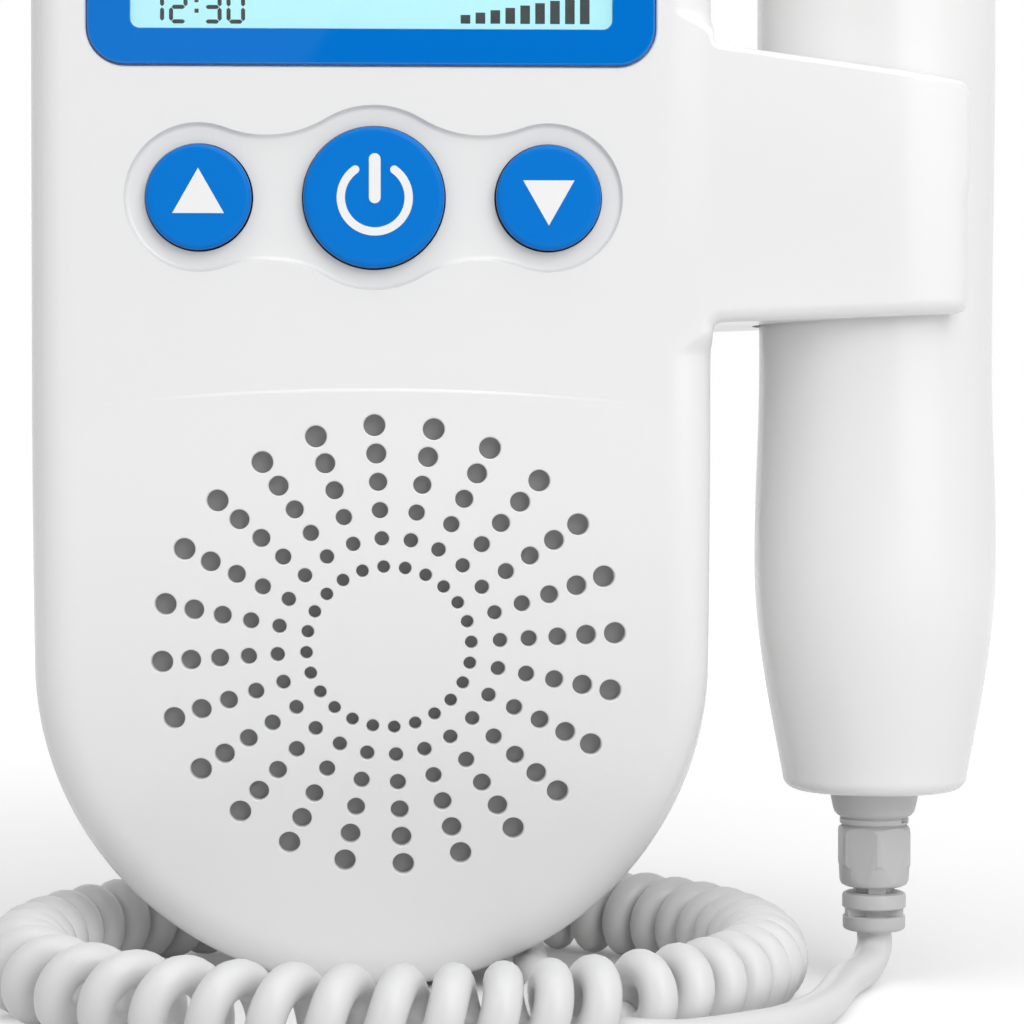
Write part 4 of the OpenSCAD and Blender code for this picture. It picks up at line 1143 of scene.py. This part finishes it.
# %% Hexagonal nut
nut = turned("relief_nut", (probe_x * mm, 0, 0),
             [(2.0, 10.4), (3.1, 10.4), (3.55, 10.6), (3.75, 11.0), (3.9, 12.55), (4.0, 12.6),
              (4.0, 12.66), (4.14, 12.9), (4.14, 16.3), (3.95, 16.75), (3.6, 17.0),
              (2.0, 17.0)], around=96)
flats = turned("nut_flats", (0, 0, 0), [(4.28, 9), (4.28, 18)], around=6)
flats.rotation_euler = (0, 0, math.radians(30))
flats.location = (probe_x * mm, 0, 0)
combine(nut, settle(flats), "INTERSECT")
smooth(nut, 22)
place(nut, "probe", "grey_plastic", grey_pvc, "cord_nut")

# %% Slotted rings
relief = turned("relief_rings", (probe_x * mm, 0, 0),
                [(1.92, 5.6), (3.05, 5.6), (3.3, 5.75), (3.4, 6.0), (3.4, 7.1), (3.28, 7.2),
                 (2.0, 7.2), (2.0, 8.0), (3.3, 8.0), (3.47, 8.15), (3.47, 9.35),
                 (3.35, 9.6), (3.0, 9.75), (1.98, 9.75), (1.98, 10.4), (1.92, 10.4)],
                around=96)
bridges = (((-0.95, -2.4, 9.6), (0.95, 2.4, 10.4)), ((-3.0, -1.5, 7.1), (3.0, 1.5, 8.1)),
           ((-2.15, -0.7, 9.6), (2.15, 0.7, 10.4)))
for low, high in bridges:
    bridge = block("bridge", (probe_x + low[0], low[1], low[2]),
                   (probe_x + high[0], high[1], high[2]))
    combine(bridge, turned("cord_way", (probe_x * mm, 0, 0), [(1.94, 5), (1.94, 11)],
                           around=48), "DIFFERENCE")
    combine(relief, bridge, "UNION")
smooth(relief, 40)
place(relief, "probe", "grey_rubber", grey_pvc, "cord_relief")

# %% [markdown]
# ## The pieces that stay as the CAD model has them
# The loudspeaker, the electronics, the cells and the screws already have the right shape, so
# they only get a finish.

# %% Finishes of the CAD nodes that stay
kept = {
    "lcd_backlight": milky_guide, "main_board": solder_mask, "tact_switches": black_abs,
    "speaker_mesh": speaker_cloth, "speaker_frame": zinc, "speaker_cone": speaker_paper,
    "speaker_magnet": zinc,
    "battery_cell_left": cell_jacket, "battery_cell_right": cell_jacket,
    "battery_springs": nickel, "battery_plates": nickel, "case_screws": zinc,
    "board_screws": zinc, "earphone_socket": black_abs, "cord_grommet": grey_pvc,
    "transducer_crystals": crystal, "probe_board": solder_mask,
}
for name, material in kept.items():
    nodes[name].data.materials.clear()
    nodes[name].data.materials.append(material)
print("CAD nodes with a new finish:", len(kept))

# %% [markdown]
# ## Floor and light
# The photograph has a pure white ground. The floor and the world look white to the camera,
# to reflections and through glass, but light the object at a plain level. Near the object the
# floor glows less, so that its shadow stays; inside the ring of cord it doesn't glow, which
# paints shade there. Five broad softboxes give the light its direction, the strongest in front
# and above. A dark and a grey card behind the camera are seen by the gloss alone.

# %% The rays that see a white studio
def seen_as_white(tree):
    """1 for camera, glossy and transmission rays, and 0 for those that light the object."""
    path = tree.nodes.new("ShaderNodeLightPath")
    seen = tree.nodes.new("ShaderNodeMath")
    seen.operation = "MAXIMUM"
    also = tree.nodes.new("ShaderNodeMath")
    also.operation = "MAXIMUM"
    tree.links.new(path.outputs["Is Camera Ray"], seen.inputs[0])
    tree.links.new(path.outputs["Is Glossy Ray"], seen.inputs[1])
    tree.links.new(seen.outputs[0], also.inputs[0])
    tree.links.new(path.outputs["Is Transmission Ray"], also.inputs[1])
    return also.outputs[0]


# %% Floor
near_glow, far_glow = 0.29, 0.78
glow_from, glow_to = 0.06, 0.6
bpy.ops.object.select_all(action="DESELECT")
bpy.ops.mesh.primitive_plane_add(size=6, location=(0, 0, 0))
floor = bpy.context.object
floor.name = "floor"
paper = bpy.data.materials.new("white_paper")
paper.use_nodes = True
tree = paper.node_tree
shader = tree.nodes["Principled BSDF"]
shader.inputs["Base Color"].default_value = (0.82, 0.82, 0.82, 1)
shader.inputs["Roughness"].default_value = 0.9
shader.inputs["Specular IOR Level"].default_value = 0.0
lift = tree.nodes.new("ShaderNodeMath")
lift.operation = "MULTIPLY"
where = tree.nodes.new("ShaderNodeTexCoord")
far = tree.nodes.new("ShaderNodeVectorMath")
far.operation = "LENGTH"
spread = tree.nodes.new("ShaderNodeMapRange")
spread.inputs["From Min"].default_value = glow_from
spread.inputs["From Max"].default_value = glow_to
spread.inputs["To Max"].default_value = far_glow
middle = tree.nodes.new("ShaderNodeVectorMath")
middle.operation = "SUBTRACT"
middle.inputs[1].default_value = (ring_x * mm, ring_y * mm, 0)
# Painted shade: inside the ring of cord this mask takes the glow away, so the floor there
# reads darker than elsewhere.
outside = tree.nodes.new("ShaderNodeMapRange")
outside.inputs["From Min"].default_value = (ring_r - 5) * mm
outside.inputs["From Max"].default_value = (ring_r + 5) * mm
tree.links.new(where.outputs["Object"], middle.inputs[0])
tree.links.new(middle.outputs["Vector"], far.inputs[0])
tree.links.new(far.outputs["Value"], spread.inputs["Value"])
tree.links.new(far.outputs["Value"], outside.inputs["Value"])
near_lift = tree.nodes.new("ShaderNodeMath")
near_lift.operation = "MULTIPLY"
near_lift.inputs[1].default_value = near_glow
tree.links.new(outside.outputs["Result"], near_lift.inputs[0])
tree.links.new(near_lift.outputs[0], spread.inputs["To Min"])
tree.links.new(spread.outputs["Result"], lift.inputs[1])
tree.links.new(seen_as_white(tree), lift.inputs[0])
shader.inputs["Emission Color"].default_value = (1, 1, 1, 1)
tree.links.new(lift.outputs[0], shader.inputs["Emission Strength"])
floor.data.materials.append(paper)
print("floor glows from", near_glow, "to", far_glow)

# %% World
world = bpy.data.worlds.new("white_studio")
scene.world = world
world.use_nodes = True
tree = world.node_tree
background = tree.nodes["Background"]
background.inputs["Color"].default_value = (1, 1, 1, 1)
lit_level, white_level = 0.32, 1.0
level = tree.nodes.new("ShaderNodeMapRange")
level.inputs["To Min"].default_value = lit_level
level.inputs["To Max"].default_value = white_level
tree.links.new(seen_as_white(tree), level.inputs["Value"])
tree.links.new(level.outputs["Result"], background.inputs["Strength"])


# %% Softboxes
def softbox(name, spot, aim, size, power):
    """A rectangular lamp at spot that faces aim; size in metres, power in watts."""
    lamp = bpy.data.lights.new(name, "AREA")
    lamp.shape = "RECTANGLE"
    lamp.size, lamp.size_y = size
    lamp.energy = power
    piece = bpy.data.objects.new(name, lamp)
    scene.collection.objects.link(piece)
    piece.location = spot
    piece.rotation_euler = (Vector(aim) - Vector(spot)).to_track_quat("-Z", "Y").to_euler()
    return piece


over_part = (0, 0, 0.07)
softbox("softbox_front", (0.3, -0.75, 0.6), over_part, (0.6, 0.6), 3.4)
softbox("softbox_top", (-0.1, -0.25, 0.9), over_part, (0.6, 0.5), 1.8)
softbox("softbox_right", (0.45, -0.2, 0.85), over_part, (0.5, 0.5), 1.2)
softbox("softbox_low", (0.5, -0.75, 0.2), over_part, (0.8, 0.55), 1.1)
softbox("softbox_left", (-0.55, -0.62, 0.5), over_part, (0.6, 0.6), 0.6)
scene.view_settings.view_transform = "Standard"


# %% Cards that only the gloss sees
def card(name, corners, level):
    """A flat card behind the camera, of this level, that only reflections show."""
    bpy.ops.object.select_all(action="DESELECT")
    bpy.ops.mesh.primitive_plane_add(size=1)
    piece = bpy.context.object
    piece.name = piece.data.name = name
    for vertex, spot in zip(piece.data.vertices, (corners[0], corners[1], corners[3],
                                                  corners[2])):
        vertex.co = spot
    finish = bpy.data.materials.new(name)
    finish.use_nodes = True
    dark = finish.node_tree.nodes["Principled BSDF"]
    dark.inputs["Base Color"].default_value = (0, 0, 0, 1)
    dark.inputs["Specular IOR Level"].default_value = 0
    dark.inputs["Emission Color"].default_value = (1, 1, 1, 1)
    dark.inputs["Emission Strength"].default_value = level
    piece.data.materials.append(finish)
    piece.visible_camera = piece.visible_diffuse = piece.visible_shadow = False
    piece.visible_transmission = False
    return piece


card_y = -0.5
card("dark_card", [(-0.0700, card_y, 0.108), (0.16, card_y, 0.05), (0.16, card_y, 0.36),
                   (0.0893, card_y, 0.36)], 0.0)
card("grey_card", [(-0.22, card_y, 0.05), (-0.1068, card_y, 0.05), (0.0893, card_y, 0.36),
                   (-0.22, card_y, 0.36)], 0.28)
